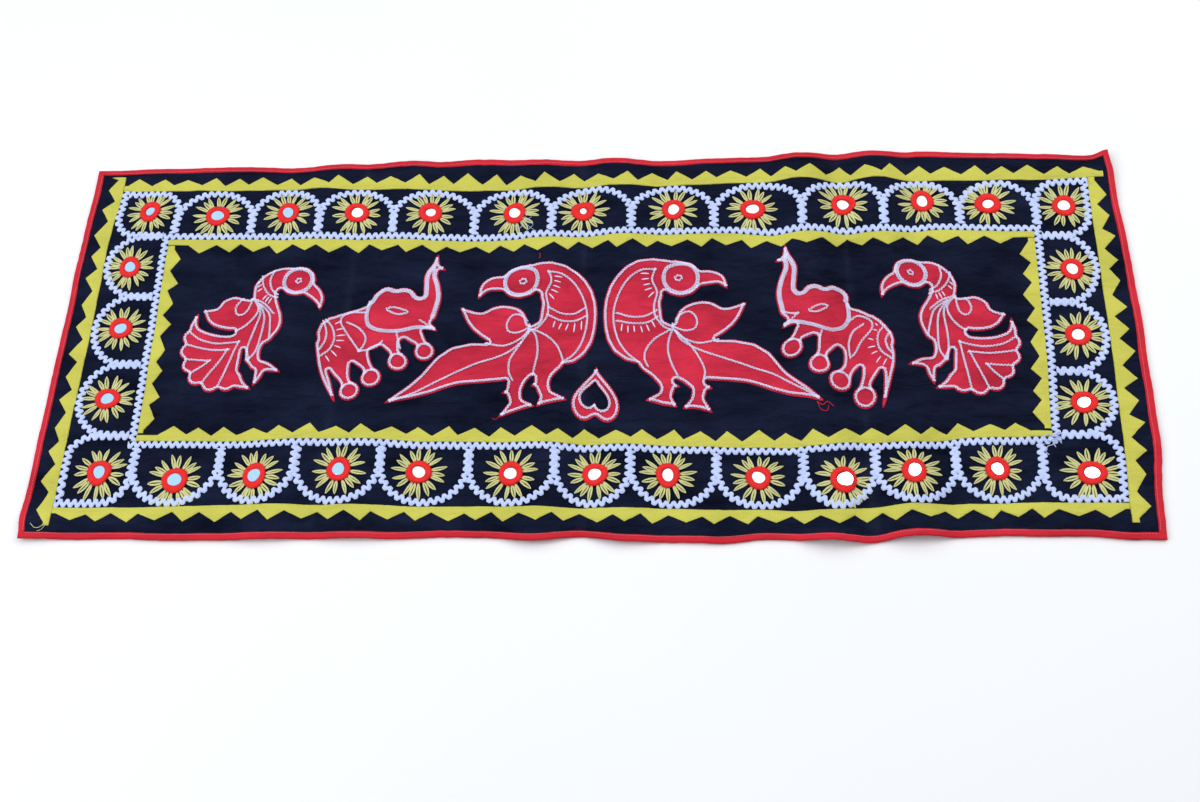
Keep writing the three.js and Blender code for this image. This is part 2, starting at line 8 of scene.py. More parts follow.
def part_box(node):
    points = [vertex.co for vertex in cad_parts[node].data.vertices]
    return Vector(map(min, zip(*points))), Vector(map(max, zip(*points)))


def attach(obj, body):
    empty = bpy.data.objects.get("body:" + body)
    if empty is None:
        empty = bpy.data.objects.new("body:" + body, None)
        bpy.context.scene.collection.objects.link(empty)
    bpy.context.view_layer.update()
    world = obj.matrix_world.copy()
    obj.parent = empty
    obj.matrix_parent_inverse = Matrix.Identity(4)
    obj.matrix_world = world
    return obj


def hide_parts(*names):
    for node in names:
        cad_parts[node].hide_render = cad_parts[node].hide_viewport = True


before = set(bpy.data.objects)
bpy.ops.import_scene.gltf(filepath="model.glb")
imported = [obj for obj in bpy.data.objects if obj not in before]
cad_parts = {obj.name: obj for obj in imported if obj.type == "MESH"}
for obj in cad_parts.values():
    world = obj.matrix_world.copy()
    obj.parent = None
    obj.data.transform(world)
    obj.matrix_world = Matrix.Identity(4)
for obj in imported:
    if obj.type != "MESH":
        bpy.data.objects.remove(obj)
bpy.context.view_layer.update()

bl_info = {
    "name": "Applique wall tapestry",
    "version": (1, 0, 0),
    "blender": (4, 5, 0),
    "location": "3D View > Sidebar > Tapestry",
    "description": "Sews a black cotton tapestry with cut red animals, zigzag braid and mirror work",
    "category": "Object",
}

# Tables are in millimetres, in the frame of the solids: the cloth lies on its back, its hanging edge at +Y.
MM = 0.001
WIDTH = 1143
HEIGHT = 457
GROUND_THICK = 1.2
GROUND_INSET = 1.3
HEM = {"wide": 7, "high": 2.15, "settles": 38}

# Storage folds: where each meets the top and bottom edge, how high the cloth stands beside it and how far.
FOLDS = (
    {"top_x": -254, "bottom_x": -272, "lift": 4, "reach": 92},
    {"top_x": -9, "bottom_x": 3, "lift": 5, "reach": 86},
    {"top_x": 274, "bottom_x": 294, "lift": 10, "reach": 82},
)
# Corners that stand up a little.
RISES = (
    {"x": 571.5, "y": 228.5, "lift": 6, "reach": 64},
    {"x": -571.5, "y": -228.5, "lift": 3, "reach": 56},
)
# Soft creases from lying folded: both ends, height and half width.
CREASES = (
    {"x0": -312, "y0": 98, "x1": -238, "y1": 74, "high": 1.3, "wide": 9},
    {"x0": -300, "y0": 74, "x1": -262, "y1": 40, "high": 0.9, "wide": 7},
    {"x0": -470, "y0": -30, "x1": -430, "y1": -52, "high": 1.0, "wide": 8},
    {"x0": -330, "y0": -60, "x1": -280, "y1": -104, "high": 1.1, "wide": 9},
    {"x0": -190, "y0": 112, "x1": -120, "y1": 96, "high": 1.0, "wide": 8},
    {"x0": -6, "y0": 104, "x1": 2, "y1": -40, "high": 0.9, "wide": 5},
    {"x0": 150, "y0": 108, "x1": 214, "y1": 92, "high": 1.2, "wide": 9},
    {"x0": 292, "y0": 100, "x1": 352, "y1": 66, "high": 1.4, "wide": 9},
    {"x0": 300, "y0": -66, "x1": 372, "y1": -96, "high": 1.2, "wide": 9},
    {"x0": 430, "y0": 90, "x1": 462, "y1": 30, "high": 1.0, "wide": 8},
    {"x0": -80, "y0": -104, "x1": -20, "y1": -110, "high": 0.9, "wide": 7},
    {"x0": 100, "y0": -108, "x1": 190, "y1": -100, "high": 1.0, "wide": 8},
)
# How far past its ends a crease runs, how gently it fades there, and where it ends sideways, in half widths.
CREASE_PAST = 0.4
CREASE_FADE = 0.6
CREASE_REACH = 3
# Fine wrinkles, as two runs of noise: lengths of the waves along X and Y, share of the height, and seed.
WRINKLES = (
    {"waves": (37, 29), "share": 1, "seed": 3.1},
    {"waves": (15, 17), "share": 0.5, "seed": 8.4},
)
# Share of a wrinkle's height by which the cloth is raised, so that no hollow goes through the floor.
WRINKLE_BASE = 0.97
# Distance from the edge at which the wrinkles come to their full height.
WRINKLE_CALM = 30
# Waves of the loose edge.
RIPPLE = {"waves": (61, 61), "seed": 5.5, "high": 1.6, "reach": 70}
# Greyed nap along the folds: its strength, its half width and how patchy it is.
WEAR = {"share": 0.16, "wide": 3.5, "steady": 0.6, "waves": (9, 25), "seed": 1.7}

# How far hand sewing wanders and the edges bow: rows across the cloth, moved so far at the stops.
STILL = (0,) * 7
LONG_STOPS = (-480, -300, -120, 60, 180, 300, 480)
LONG_ROWS = (
    {
        "at": -228.5,
        "stops": (
            -560, -503, -411, -320, -274, -206, -137, -91, -46, 0, 46, 137, 183, 274, 320, 411, 503, 549,
        ),
        "moved": (-2, -1, -3, -2.5, -0.5, -2, 1.5, 0.5, -4, 1.5, -4.5, -4.5, -1, -5, -1, 3.5, 3, -0.5),
    },
    {
        "at": -192,
        "stops": (-480, -350, -300, -120, 60, 180, 250, 295, 335, 390, 480),
        "moved": (-3.5, -1, -0.5, -2.5, -5, -6, -9, -3.5, -2.5, 0.5, 2),
    },
    {"at": -157, "moved": (2.5, 2.5, -1.5, -4, -5, -1, 4)},
    {
        "at": -121,
        "stops": (-480, -340, -285, -120, 60, 180, 240, 285, 330, 400, 480),
        "moved": (1, 0, 3, -1, -6, -8.5, -10, -4, -6.5, 2.5, 3),
    },
    {"at": -50, "moved": STILL},
    {"at": 60, "moved": STILL},
    {
        "at": 130,
        "stops": (-480, -300, -120, 60, 150, 215, 262, 318, 380, 480),
        "moved": (1, -2.5, -6, -1, 0.5, -4.5, -3, -6, 1, -2),
    },
    {"at": 163, "moved": (1.5, 0.5, -4, -1, 0.5, 0.5, -2.5)},
    {"at": 195.5, "moved": (1, -0.5, -5, -2, 1, 0, 0)},
    {
        "at": 228.5,
        "stops": (
            -560, -411, -320, -274, -183, -137, -46, 0, 46, 160, 229, 274, 320, 366, 457, 503, 549, 572,
        ),
        "moved": (-2, 0.5, -3, 1, 2, 6, 1, 2.5, 0, 2.5, 1, 5.5, 2, 7, 3, 1, -5, 2),
    },
)
SHORT_STOPS = (-228, -200, -120, 0, 120, 200, 228)
SHORT_ROWS = (
    {"at": -571.5, "moved": (0, -2.5, -2.6, -2, -1.5, 0, 0)},
    {"at": -541, "moved": (-1, -1, -1, 0, -1, 4, 4)},
    {"at": -469, "moved": (-3, -3, 1, -1, -4, 0, 0)},
    {"at": -400, "moved": STILL},
    {"at": 400, "moved": STILL},
    {"at": 478.5, "moved": (-6, -6, -4, 1, 3, 3, 3)},
    {"at": 543.5, "moved": (-3, -3, 0, 2, 2, 2, 2)},
    {"at": 571.5, "moved": (0, 1.5, 8.5, 9.5, 7, 3, 0)},
)
LONG_AT = [row["at"] for row in LONG_ROWS]
SHORT_AT = [row["at"] for row in SHORT_ROWS]
# Steps that never come round to the same place, so that no two hand-cut pieces are alike.
GOLDEN_STEP = 0.618034
PLASTIC_STEP = 0.754878


# The four sides, clockwise from the top: s runs clockwise along a side and d outwards from the middle.
SIDES = (
    {
        "name": "top", "turn": 0, "edge": HEIGHT / 2, "long": True, "start": -466.5,
        "cells": (85, 78, 84, 91, 87, 88, 91, 96, 88, 83, 79),
        "outer": 195.5, "outer_ends": (-540.5, 560), "inner": 130, "inner_ends": (-469, 478.5),
    },
    {
        "name": "right", "turn": -90, "edge": WIDTH / 2, "long": False, "start": -124.5,
        "cells": (86, 82, 75),
        "outer": 543.5, "outer_ends": (-195, 212), "inner": 478.5, "inner_ends": (-121, 112),
    },
    {
        "name": "bottom", "turn": 180, "edge": HEIGHT / 2, "long": True, "start": -466.5,
        "cells": (90, 80, 72, 87, 87, 77, 89, 91, 89, 80, 91),
        "outer": 192, "outer_ends": (-543, 540.5), "inner": 121, "inner_ends": (-478.5, 469),
    },
    {
        "name": "left", "turn": 90, "edge": WIDTH / 2, "long": False, "start": -114.5,
        "cells": (86, 85, 78.5),
        "outer": 541, "outer_ends": (-214, 217), "inner": 469, "inner_ends": (-112, 121), "flare": 7,
    },
)
TRIM_GAP = 0.5
# The braid's middle width, its arches, its height on the cloth and over another length, and its waves.
BRAID = {
    "wide": 7.4, "leg_share": 0.38, "leg_pitch": 2, "corner_radius": 24, "seat": 1.5, "over": 0.5,
    "wave_steps": 12, "notch_power": 2.8, "stray": 0.2,
    "corner_phase": 1.3, "arch_phase": 2.1, "rail_phase": 0.7,
}
for k, side in enumerate(SIDES):
    side["before"] = SIDES[k - 1]
    side["after"] = SIDES[(k + 1) % 4]
    side["crown"] = side["outer"] - TRIM_GAP - BRAID["wide"] / 2
    side["rail"] = side["inner"] + TRIM_GAP + BRAID["wide"] / 2
    side["foot"] = side["rail"] + BRAID["wide"] / 2 + TRIM_GAP
    side["end"] = side["start"] + sum(side["cells"])
TOOTH = {
    "pitch": 29.5, "band": 7, "deep": 9.5, "end": 4, "steps": 4,
    "wander": 0.1, "band_wander": 1, "deep_wander": 1.6,
}

# The binding's fold in section: how far in from the edge and how high.
BINDING_SECTION = (
    {"inset": 7.0, "up": 1.7}, {"inset": 6.4, "up": 2.35}, {"inset": 4.2, "up": 2.65},
    {"inset": 1.9, "up": 2.5}, {"inset": 0.5, "up": 1.9}, {"inset": 0.0, "up": 0.6},
    {"inset": 0.5, "up": -0.7}, {"inset": 1.9, "up": -1.2}, {"inset": 7.0, "up": -1.15},
)
# The binding: spacing of its points, thickness, calm stretch at its ends, how far it may pass the edge,
# the height from which it is on top, and what is turned in under both rims.
BINDING = {"step": 3, "thick": 0.8, "calm": 25, "past_edge": 2, "top": 1.5, "turned_in": 3}
# How a hand-folded binding wanders along its edge, in long and short waves, and puckers at its seam.
BINDING_WANDER = (
    {"kind": "waver", "far": 1.7, "wave": 60, "seed": 0},
    {"kind": "shake", "far": 0.4, "wave": 9, "seed": 4},
    {"kind": "pucker", "far": 0.3, "wave": 6, "seed": 9},
)
# A sawtooth strip in section, from its straight edge to its teeth: share of the width and height of its face.
STRIP_SECTION = (
    {"share": 0, "up": 1.85}, {"share": 0.05, "up": 2.35}, {"share": 0.13, "up": 2.0},
    {"share": 0.22, "up": 2.5}, {"share": 0.7, "up": 2.5}, {"share": 0.9, "up": 2.4}, {"share": 1, "up": 1.9},
)
STRIP = {"thick": 0.6, "fray": 0.35, "fray_wave": 4, "puff": 0.25, "puff_waves": (13, 7)}
# The braid in section: share of its half width and of its thickness.
BRAID_SECTION = (
    {"across": -1, "up": 0.2}, {"across": -0.7, "up": 0.8}, {"across": 0, "up": 1},
    {"across": 0.7, "up": 0.8}, {"across": 1, "up": 0.2}, {"across": 0, "up": 0},
)
ARCH_STEPS = 40
CORNER_STEPS = 16
CURVE_STEPS = 8
# Cutting of the red shapes: how far up a face looks, the fewest points of an edge, the spacing of a cut's
# points, the turns from which a nick or a point stays sharp, and rounds of smoothing elsewhere.
CUT = {
    "upward": 0.5, "fewest_points": 9, "step": 1.1, "nick": math.radians(24), "point": math.radians(48),
    "rounds": 4,
}
# Rows of stitch along a cut edge: the share of their inset that stays clear of other edges, the share of it
# that is left round a hole, and the distance of a second row.
OUTLINE_ROW = {"clear": 0.7, "hole": 0.6, "echo": 2.3, "rounds": 3, "fewest_points": 4}
# Spacing of the points along other rows.
ROW_STEP = 2
# Stitch round an elephant's foot: radius, and places beside the ankle in degrees.
FOOT_RING = {"radius": 9.2, "spread": (36, 23, 10)}
# A red shape's cloth: its cells, rim, thickness and height, how it sinks at stitches and puffs between them.
PATCH = {
    "cell": 3, "rim": 0.8, "thick": 0.5, "edge_up": 1.75, "up": 2.4,
    "sunk": 0.45, "sunk_reach": 2, "puff": 0.6, "puff_reach": 9,
}
PATCH_WRINKLES = (
    {"high": 0.6, "waves": (17, 7), "seed": 2.2},
    {"high": 0.35, "waves": (8, 9), "seed": 6.1},
)
# Chain stitch: the outline is stitched with more strands than the lines inside it. Turns are in radians.
CHAIN = {
    "up": 2.85, "thick": 1.2, "sway": 0.42, "sway_wander": 0.2, "overlap": 1.12, "width_wander": 0.12,
    "edge_width": 1.15, "inner_width": 0.88,
}
# One link of it, of unit length, and the yarn's length in metres, for the plies.
LINK = {
    "steps": 8, "half_long": 0.44, "half_wide": 0.33, "even": 0.8, "taper": 0.3, "strand": 0.17,
    "yarn": 0.006,
}
TICK = {"up": 3.05, "wide": 1.6, "thick": 1.1}
# A straight stitch of unit length from end to end, how deep its ends dip, and its yarn's steps in metres.
STITCH_SECTION = (
    {"along": -0.5, "thick": 0.35}, {"along": -0.3, "thick": 0.85}, {"along": 0, "thick": 1},
    {"along": 0.3, "thick": 0.85}, {"along": 0.5, "thick": 0.35},
)
STITCH = {"dip": 0.35, "corners": 5, "yarn_step": 0.001}
MACHINE = {
    "from_corner": 10, "inset": 5.6, "shown": 0.72, "thick": 0.5, "up": 2.72,
    "waver": 0.35, "waver_stitches": 12,
}
# Mirrors: their bevel is a share of the radius, and their lean is in radians.
MIRRORS = sorted(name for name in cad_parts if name.startswith("mirror_"))
MIRROR = {"radius": 8.8, "thick": 1, "up": 2.9, "corners": 26, "bevel": 0.05, "lean": 0.03}
# How they stray from round, and the inner and outer rim of their rings: lobes, share of the radius, and shift
# from one to the next.
MIRROR_CUT = ({"lobes": 3, "far": 0.035, "shift": 2.1}, {"lobes": 5, "far": 0.02, "shift": 1})
RING_INSIDE = ({"lobes": 2, "far": 0.07, "shift": 1.7}, {"lobes": 3, "far": 0.025, "shift": 2.9})
RING_OUTSIDE = ({"lobes": 3, "far": 0.03, "shift": 0.9},)
# Mirrors that their yarn covers further, by number, and the share of the opening that is left.
COVERED = {1: 0.82, 5: 0.8, 7: 0.6, 12: 0.85}
# Rings of wound yarn: every other step is a ridge. The yarn's own steps are in metres, for the plies.
RING = {
    "steps": 76, "corners": 7, "ridge": 0.08, "squash": 0.07, "up": 3.1, "half_high": 1.9, "turned": 0.3,
    "yarn_step": 0.0008,
}
# Petals: number to a mirror, their yarn, how they differ from each other, and how they lie.
PETAL = {
    "count": 18, "salts": 17, "steps": 12, "yarn": 1.12, "tucked": 1.2, "fullness": 0.75, "tip_thinner": 0.5,
    "reach_wander": 0.07, "turn_wander": 0.22, "width_wander": 0.15, "swing": 1.4, "bend": 0.7,
    "up": 2.0, "half_high": 0.75, "tip_rise": 0.25, "corners": 5, "turned": 0.3, "yarn_step": 0.0028,
}

# Chain stitched lines inside the red shapes, each shape in its own frame; a pair has a second row beside it.
BIRD_LINES = (
    {
        "line": "head", "x": (2, -2, -17, -31, -36, -31, -17, -3), "y": (53, 67, 72, 67, 53, 40, 34, 40),
        "loop": True, "pair": 2.2,
    },
    {"line": "pupil", "x": (-11.5, -15, -18.5, -15), "y": (53, 56.5, 53, 49.5), "loop": True},
    {"line": "inner back", "x": (13, 28, 43, 53, 56, 52, 43, 31), "y": (64, 61, 47, 25, 3, -20, -37, -48)},
    {"line": "throat", "x": (13, 16, 11, 14, 13, 5, -2), "y": (64, 51, 36, 20, 7, -5, -9)},
    {"line": "upper band", "x": (15, 28, 41, 53), "y": (18, 12, 12.5, 19)},
    {"line": "lower band", "x": (14, 28, 43, 55), "y": (9, 3, 3.5, 9)},
    {
        "line": "drop", "x": (-5, -14, -24, -30, -28, -19, -10), "y": (-3, 9, 11, 2, -8, -11, -8),
        "loop": True,
    },
    {"line": "under wing", "x": (-5, -13, -30, -46, -60), "y": (-7, -18, -25.5, -24, -19)},
    {
        "line": "mid tail", "x": (-5, -14, -34, -62, -95, -124, -147),
        "y": (-9, -24, -38, -48, -65, -82, -93),
    },
    {"line": "near thigh", "x": (-4, -14, -24, -25, -21), "y": (-10, -25, -42, -57, -67)},
    {"line": "between legs", "x": (-2, 3, 5, 3, 1), "y": (-9, -19, -36, -52, -63)},
    {"line": "far thigh", "x": (0, 14, 25, 31, 32), "y": (-9, -17, -28, -42, -48)},
)
BIRD_TICKS = (
    {"x": (19, 28), "y": (58, 57)}, {"x": (19, 27), "y": (52, 50)}, {"x": (18, 26), "y": (46, 43)},
    {"x": (16, 24), "y": (41, 37)}, {"x": (14, 20), "y": (36, 29)}, {"x": (22, 20), "y": (2, -6)},
    {"x": (29, 26), "y": (0, -8)}, {"x": (36, 33), "y": (0, -10)}, {"x": (43, 42), "y": (1, -11)},
    {"x": (50, 50), "y": (3, -8)},
)
ELEPHANT_LINES = (
    {"line": "face", "x": (-9, -12, -8, 5, 24, 44, 60), "y": (30, 15, 1, -6, -7, -1, -1), "pair": 2.2},
    {"line": "lip", "x": (48, 54, 63), "y": (9, 5, -2)},
    {"line": "eye", "x": (11, 20, 34, 22), "y": (21, 23, 18, 15), "loop": True},
    {"line": "saddle", "x": (-12, -25, -36, -39, -33, -22, -15), "y": (18, 19.5, 16, 8, -3, -19, -29)},
    {"line": "saddle flap", "x": (-31, -19, -10, -10, -15), "y": (7, 0, -11, -21, -29)},
    {"line": "rump", "x": (-54, -47, -44, -48, -57), "y": (9, 0, -13, -26, -35)},
    {"line": "rump edge", "x": (-57, -53, -54, -59), "y": (7, -5, -17, -27)},
    {"line": "belly", "x": (-15, -5, 4, 9), "y": (-29, -28, -24, -19)},
    {"line": "chest", "x": (24, 26, 29), "y": (-8, -16, -26)},
)
ELEPHANT_TICKS = (
    {"x": (-45, -38), "y": (5, 9)}, {"x": (-43, -35), "y": (-2, 0)}, {"x": (-42, -32), "y": (-9, -8)},
    {"x": (-42, -33), "y": (-15, -15)}, {"x": (-43, -35), "y": (-21, -24)},
    {"x": (-46, -39), "y": (-27, -34)}, {"x": (-51, -46), "y": (-34, -41)},
)
# Feet, with the side on which each joins its leg, in degrees: their rings of stitch all but close there.
ELEPHANT_FEET = (
    {"x": -21, "y": -77, "ankle": 114}, {"x": 1, "y": -62, "ankle": 110}, {"x": 28, "y": -43, "ankle": 108},
    {"x": 55, "y": -29, "ankle": 108},
)
# Second rows of stitch inside the edge, from one point of it to another, anticlockwise.
ELEPHANT_ECHOES = ({"first": (62, 12), "last": (-9, 30)},)
PEACOCK_LINES = (
    {
        "line": "head", "x": (66, 61, 49, 37, 32, 37, 49, 61), "y": (59, 71, 76, 71, 59, 47, 42, 47),
        "loop": True, "pair": 2.2,
    },
    {"line": "pupil", "x": (52.5, 50, 47, 49), "y": (58, 61.5, 58, 55.5), "loop": True},
    {"line": "upper band", "x": (20, 17, 20, 27), "y": (73, 62, 50, 43)},
    {"line": "lower band", "x": (8, 10, 17, 27), "y": (66, 55, 44, 39)},
    {"line": "drop", "x": (-1, -11, -17, -14, -7, -2), "y": (40, 37, 27, 18, 19, 28), "loop": True},
    {"line": "under wing", "x": (-19, -7, 3, 8, 4, -2), "y": (-4, 2, 12, 24, 34, 40)},
    {"line": "near thigh", "x": (6, 11, 6, 3, 3), "y": (34, 19, -4, -22, -37)},
    {"line": "middle", "x": (9, 16, 15, 12, 5), "y": (31, 15, -10, -28, -38)},
    {"line": "far thigh", "x": (10, 21, 24, 25), "y": (31, 19, 2, -11)},
    {"line": "breast", "x": (2, 14, 25), "y": (38, 32, 20)},
    {"line": "feather 1", "x": (-63, -50, -30, -8), "y": (-3, -13, -18, -16)},
    {"line": "feather 2", "x": (-64, -40, -18), "y": (-18.5, -25, -26)},
    {"line": "feather 3", "x": (-61.5, -48, -37), "y": (-36.5, -38, -39)},
    {"line": "feather 4", "x": (-37, -44, -54.5), "y": (-39, -46, -53.5)},
    {"line": "feather 5", "x": (-19, -29, -41), "y": (-26, -45, -65.5)},
    {"line": "feather 6", "x": (-8, -16, -23.5), "y": (-16, -44, -69.5)},
)
PEACOCK_TICKS = (
    {"x": (7, 2), "y": (61, 57)}, {"x": (8, 3), "y": (56, 52)}, {"x": (9, 4), "y": (51, 47)},
    {"x": (15, 11), "y": (43, 37)}, {"x": (18, 14), "y": (41, 34)}, {"x": (21, 18), "y": (39, 32)},
)
# The right elephant's own lines, ticks and feet.
RIGHT_ELEPHANT_LINES = (
    {
        "line": "face", "x": (-4.5, -6, -1, 8, 17, 37, 52, 58), "y": (26, 10.5, -1, -7, -8.5, -3, 1, -1.5),
        "pair": 2.2,
    },
    {"line": "mouth", "x": (61, 54, 46.5), "y": (14.5, 12, 10.5)},
    {"line": "lip", "x": (46.5, 52, 58.5), "y": (10.5, 5, -2)},
    {"line": "eye", "x": (35, 24.5, 16.5, 27), "y": (13.5, 20.5, 19.5, 12), "loop": True},
    {
        "line": "saddle", "x": (-7, -14.5, -25.5, -27.5, -17.5, -11.5, -6.5),
        "y": (8.5, 13, 7, -2.5, -16, -29, -35),
    },
    {"line": "saddle flap", "x": (-18.5, -9.5, -5, -6), "y": (2.5, -4.5, -19, -33)},
    {"line": "rump", "x": (-42, -34.5, -33, -36.5, -46), "y": (0.5, -7.5, -18.5, -29, -38)},
    {"line": "rump edge", "x": (-44, -40.5, -43, -46.5), "y": (-9.5, -17.5, -27, -31.5)},
    {"line": "chest", "x": (22.5, 24, 24.5), "y": (-11, -17, -22)},
)
RIGHT_ELEPHANT_TICKS = (
    {"x": (-30.5, -33), "y": (2.5, -0.5)}, {"x": (-28.5, -32.5), "y": (-4, -6)},
    {"x": (-23.5, -29), "y": (-13.5, -16)}, {"x": (-23, -31), "y": (-24, -23)},
    {"x": (-26, -33), "y": (-31.5, -28.5)}, {"x": (-31.5, -36), "y": (-41.5, -34.5)},
    {"x": (-38, -41.5), "y": (-45, -38)},
)
RIGHT_ELEPHANT_FEET = (
    {"x": -21, "y": -77, "ankle": 92}, {"x": 3.5, "y": -63, "ankle": 120},
    {"x": 24, "y": -47.5, "ankle": 101}, {"x": 51, "y": -27.5, "ankle": 110},
)
RIGHT_ELEPHANT_ECHOES = ({"first": (62, 12), "last": (-5, 29)},)
# Lines in which the right bird differs.
RIGHT_BIRD_LINES = (
    {
        "line": "head", "x": (5, 1, -14, -28, -33, -28, -14, 0), "y": (52, 66, 71, 66, 52, 39, 33, 39),
        "loop": True, "pair": 2.2,
    },
    {"line": "pupil", "x": (-8, -11.5, -15, -11.5), "y": (52.5, 56, 52.5, 49), "loop": True},
    {"line": "upper band", "x": (12, 24, 38, 52), "y": (13, 5.5, 4, 8.5)},
    {"line": "lower band", "x": (11, 22, 37, 52), "y": (5, -2, -3.5, -0.5)},
    {
        "line": "mid tail", "x": (-9, -14, -34, -60, -87, -110, -147),
        "y": (-12, -22, -35, -45, -56, -66, -92),
    },
    {"line": "near thigh", "x": (-8, -22, -32, -37, -36), "y": (-11, -27, -44, -58, -66)},
    {"line": "between legs", "x": (-5, -1, 0, -4, -9), "y": (-9, -21, -35, -51, -62)},
    {"line": "far thigh", "x": (-2, 13, 22, 24, 21), "y": (-10, -20, -33, -44, -52)},
)
RIGHT_BIRD_OWN = {row["line"] for row in RIGHT_BIRD_LINES}
RIGHT_BIRD_LINES += tuple(row for row in BIRD_LINES if row["line"] not in RIGHT_BIRD_OWN)
RIGHT_BIRD_TICKS = BIRD_TICKS[:5] + (
    {"x": (17, 13), "y": (1, -7)}, {"x": (22, 19), "y": (-4, -12)}, {"x": (28, 26), "y": (-6, -14)},
    {"x": (35, 34), "y": (-6, -15)}, {"x": (41, 41), "y": (-6, -15)}, {"x": (47, 48), "y": (-4, -14)},
)
FIGURES = (
    {
        "node": "peacock_left", "lines": PEACOCK_LINES, "ticks": PEACOCK_TICKS, "x": -366.5, "y": 13.5,
        "flip": 1, "turn": 0, "size": 1,
    },
    {
        "node": "elephant_left", "lines": ELEPHANT_LINES, "ticks": ELEPHANT_TICKS,
        "echoes": ELEPHANT_ECHOES, "feet": ELEPHANT_FEET, "x": -226.5, "y": 13.5, "flip": 1, "turn": 0,
        "size": 1,
    },
    {
        "node": "bird_left", "lines": BIRD_LINES, "ticks": BIRD_TICKS, "x": -54.5, "y": 16.5, "flip": 1,
        "turn": 0, "size": 1,
    },
    {
        "node": "bird_right", "lines": RIGHT_BIRD_LINES, "ticks": RIGHT_BIRD_TICKS, "x": 87.5, "y": 18.5,
        "flip": -1, "turn": 0.8, "size": 1.03,
    },
    {
        "node": "elephant_right", "lines": RIGHT_ELEPHANT_LINES, "ticks": RIGHT_ELEPHANT_TICKS,
        "echoes": RIGHT_ELEPHANT_ECHOES, "feet": RIGHT_ELEPHANT_FEET, "x": 272.5, "y": 10, "flip": -1,
        "turn": -3, "size": 1.05,
    },
    {
        "node": "peacock_right", "lines": PEACOCK_LINES, "ticks": PEACOCK_TICKS, "x": 386, "y": 8.5,
        "flip": -1, "turn": -8.5, "size": 1,
    },
    {"node": "heart", "lines": (), "ticks": (), "x": 13, "y": -66, "flip": 1, "turn": 0, "size": 1},
)

# Loose ends of thread: their run in plan, thickness and colour.
LOOSE_ENDS = (
    {"x": (-72, -66, -62, -70, -64), "y": (136, 140, 146, 150, 155), "thick": 0.5, "colour": "white"},
    {"x": (-84, -78, -70, -64, -58), "y": (148, 143, 146, 141, 137), "thick": 0.4, "colour": "white"},
    {"x": (-80, -75, -77, -70, -72), "y": (140, 146, 152, 157, 163), "thick": 0.4, "colour": "white"},
    {"x": (468, 474, 480, 487, 492), "y": (-123, -119, -122, -118, -121), "thick": 1.0, "colour": "white"},
    {"x": (474, 478, 485, 490), "y": (-130, -124, -126, -120), "thick": 0.9, "colour": "white"},
    {"x": (482, 477, 472, 470, 473), "y": (-126, -131, -133, -138, -142), "thick": 0.8, "colour": "white"},
    {"x": (486, 481, 484, 478, 480), "y": (-116, -120, -125, -128, -134), "thick": 0.9, "colour": "white"},
    {"x": (472, 479, 483, 489), "y": (-126, -127, -121, -125), "thick": 1.0, "colour": "white"},
    {"x": (240, 246, 251, 257), "y": (-79, -82, -79, -84), "thick": 0.6, "colour": "red"},
    {"x": (241, 244, 250, 252), "y": (-80, -86, -88, -83), "thick": 0.5, "colour": "red"},
    {"x": (-53, -52, -53), "y": (107, 103, 99), "thick": 0.6, "colour": "red"},
    {"x": (-86, -90, -94), "y": (-92, -96, -95), "thick": 0.5, "colour": "red"},
    {"x": (-545, -549, -554, -559), "y": (-212, -217, -217, -212), "thick": 0.7, "colour": "yellow"},
    {"x": (-543, -546, -551), "y": (-213, -219, -221), "thick": 0.5, "colour": "yellow"},
)
LOOSE = {"step": 0.8, "up": 3.4, "wave": 0.5, "wave_steps": 4, "corners": 5}

# Cloudy patterns in the materials: width of their patches. The cloth's dye patches are partly painted shade
# of wrinkles.
CLOUDS = {
    "dye": 55.56, "crumple": 20.83, "fleck": 1.429, "yarn": 11.11, "silver": 7.143, "glass": 16.67,
    "paint": 666.7,
}

# The floor's half width in metres, and the soft light of the room.
FLOOR_HALF = 6
ROOM = {"colour": "#e4edff", "strength": 0.36}
# Camera: place, point looked at, roll, focal length and sensor, from the corners of the cloth in the picture.
CAMERA = {"at": (121.0, -773.7, 1368.2), "to": (17.4, -73.8, 0), "roll": -7.76, "lens": 44.4, "sensor": 36}
LIGHTS = (
    {
        "name": "window_left", "at": (-1700, -700, 2100), "to": (-100, 0, 0), "wide": 2200, "tall": 2200,
        "watts": 57, "colour": "#fbfcff",
    },
    {
        "name": "window_right", "at": (1700, 500, 1900), "to": (150, 0, 0), "wide": 1800, "tall": 1800,
        "watts": 27, "colour": "#ffffff",
    },
    {
        "name": "sky_panel", "at": (-1950, 1250, 2200), "to": (-1950, 60, 0), "wide": 1800, "tall": 2600,
        "watts": 15, "colour": "#8cc4ff",
    },
    {
        "name": "white_panel", "at": (600, 1250, 2200), "to": (600, 60, 0), "wide": 3300, "tall": 2600,
        "watts": 30, "colour": "#ffffff",
    },
)


def srgb(code):
    """Linear colour of an sRGB hex value."""
    parts = [int(code[k:k + 2], 16) / 255 for k in (1, 3, 5)]
    return tuple(p / 12.92 if p <= 0.04045 else ((p + 0.055) / 1.055) ** 2.4 for p in parts)


def length(name, description, default):
    """A size in metres that a user may change."""
    return bpy.props.FloatProperty(name=name, description=description, default=default, unit="LENGTH")


def dye(name, description, code):
    """A colour that a user may change, from its sRGB hex value."""
    return bpy.props.FloatVectorProperty(
        name=name, description=description, subtype="COLOR", min=0, max=1, default=srgb(code),
    )


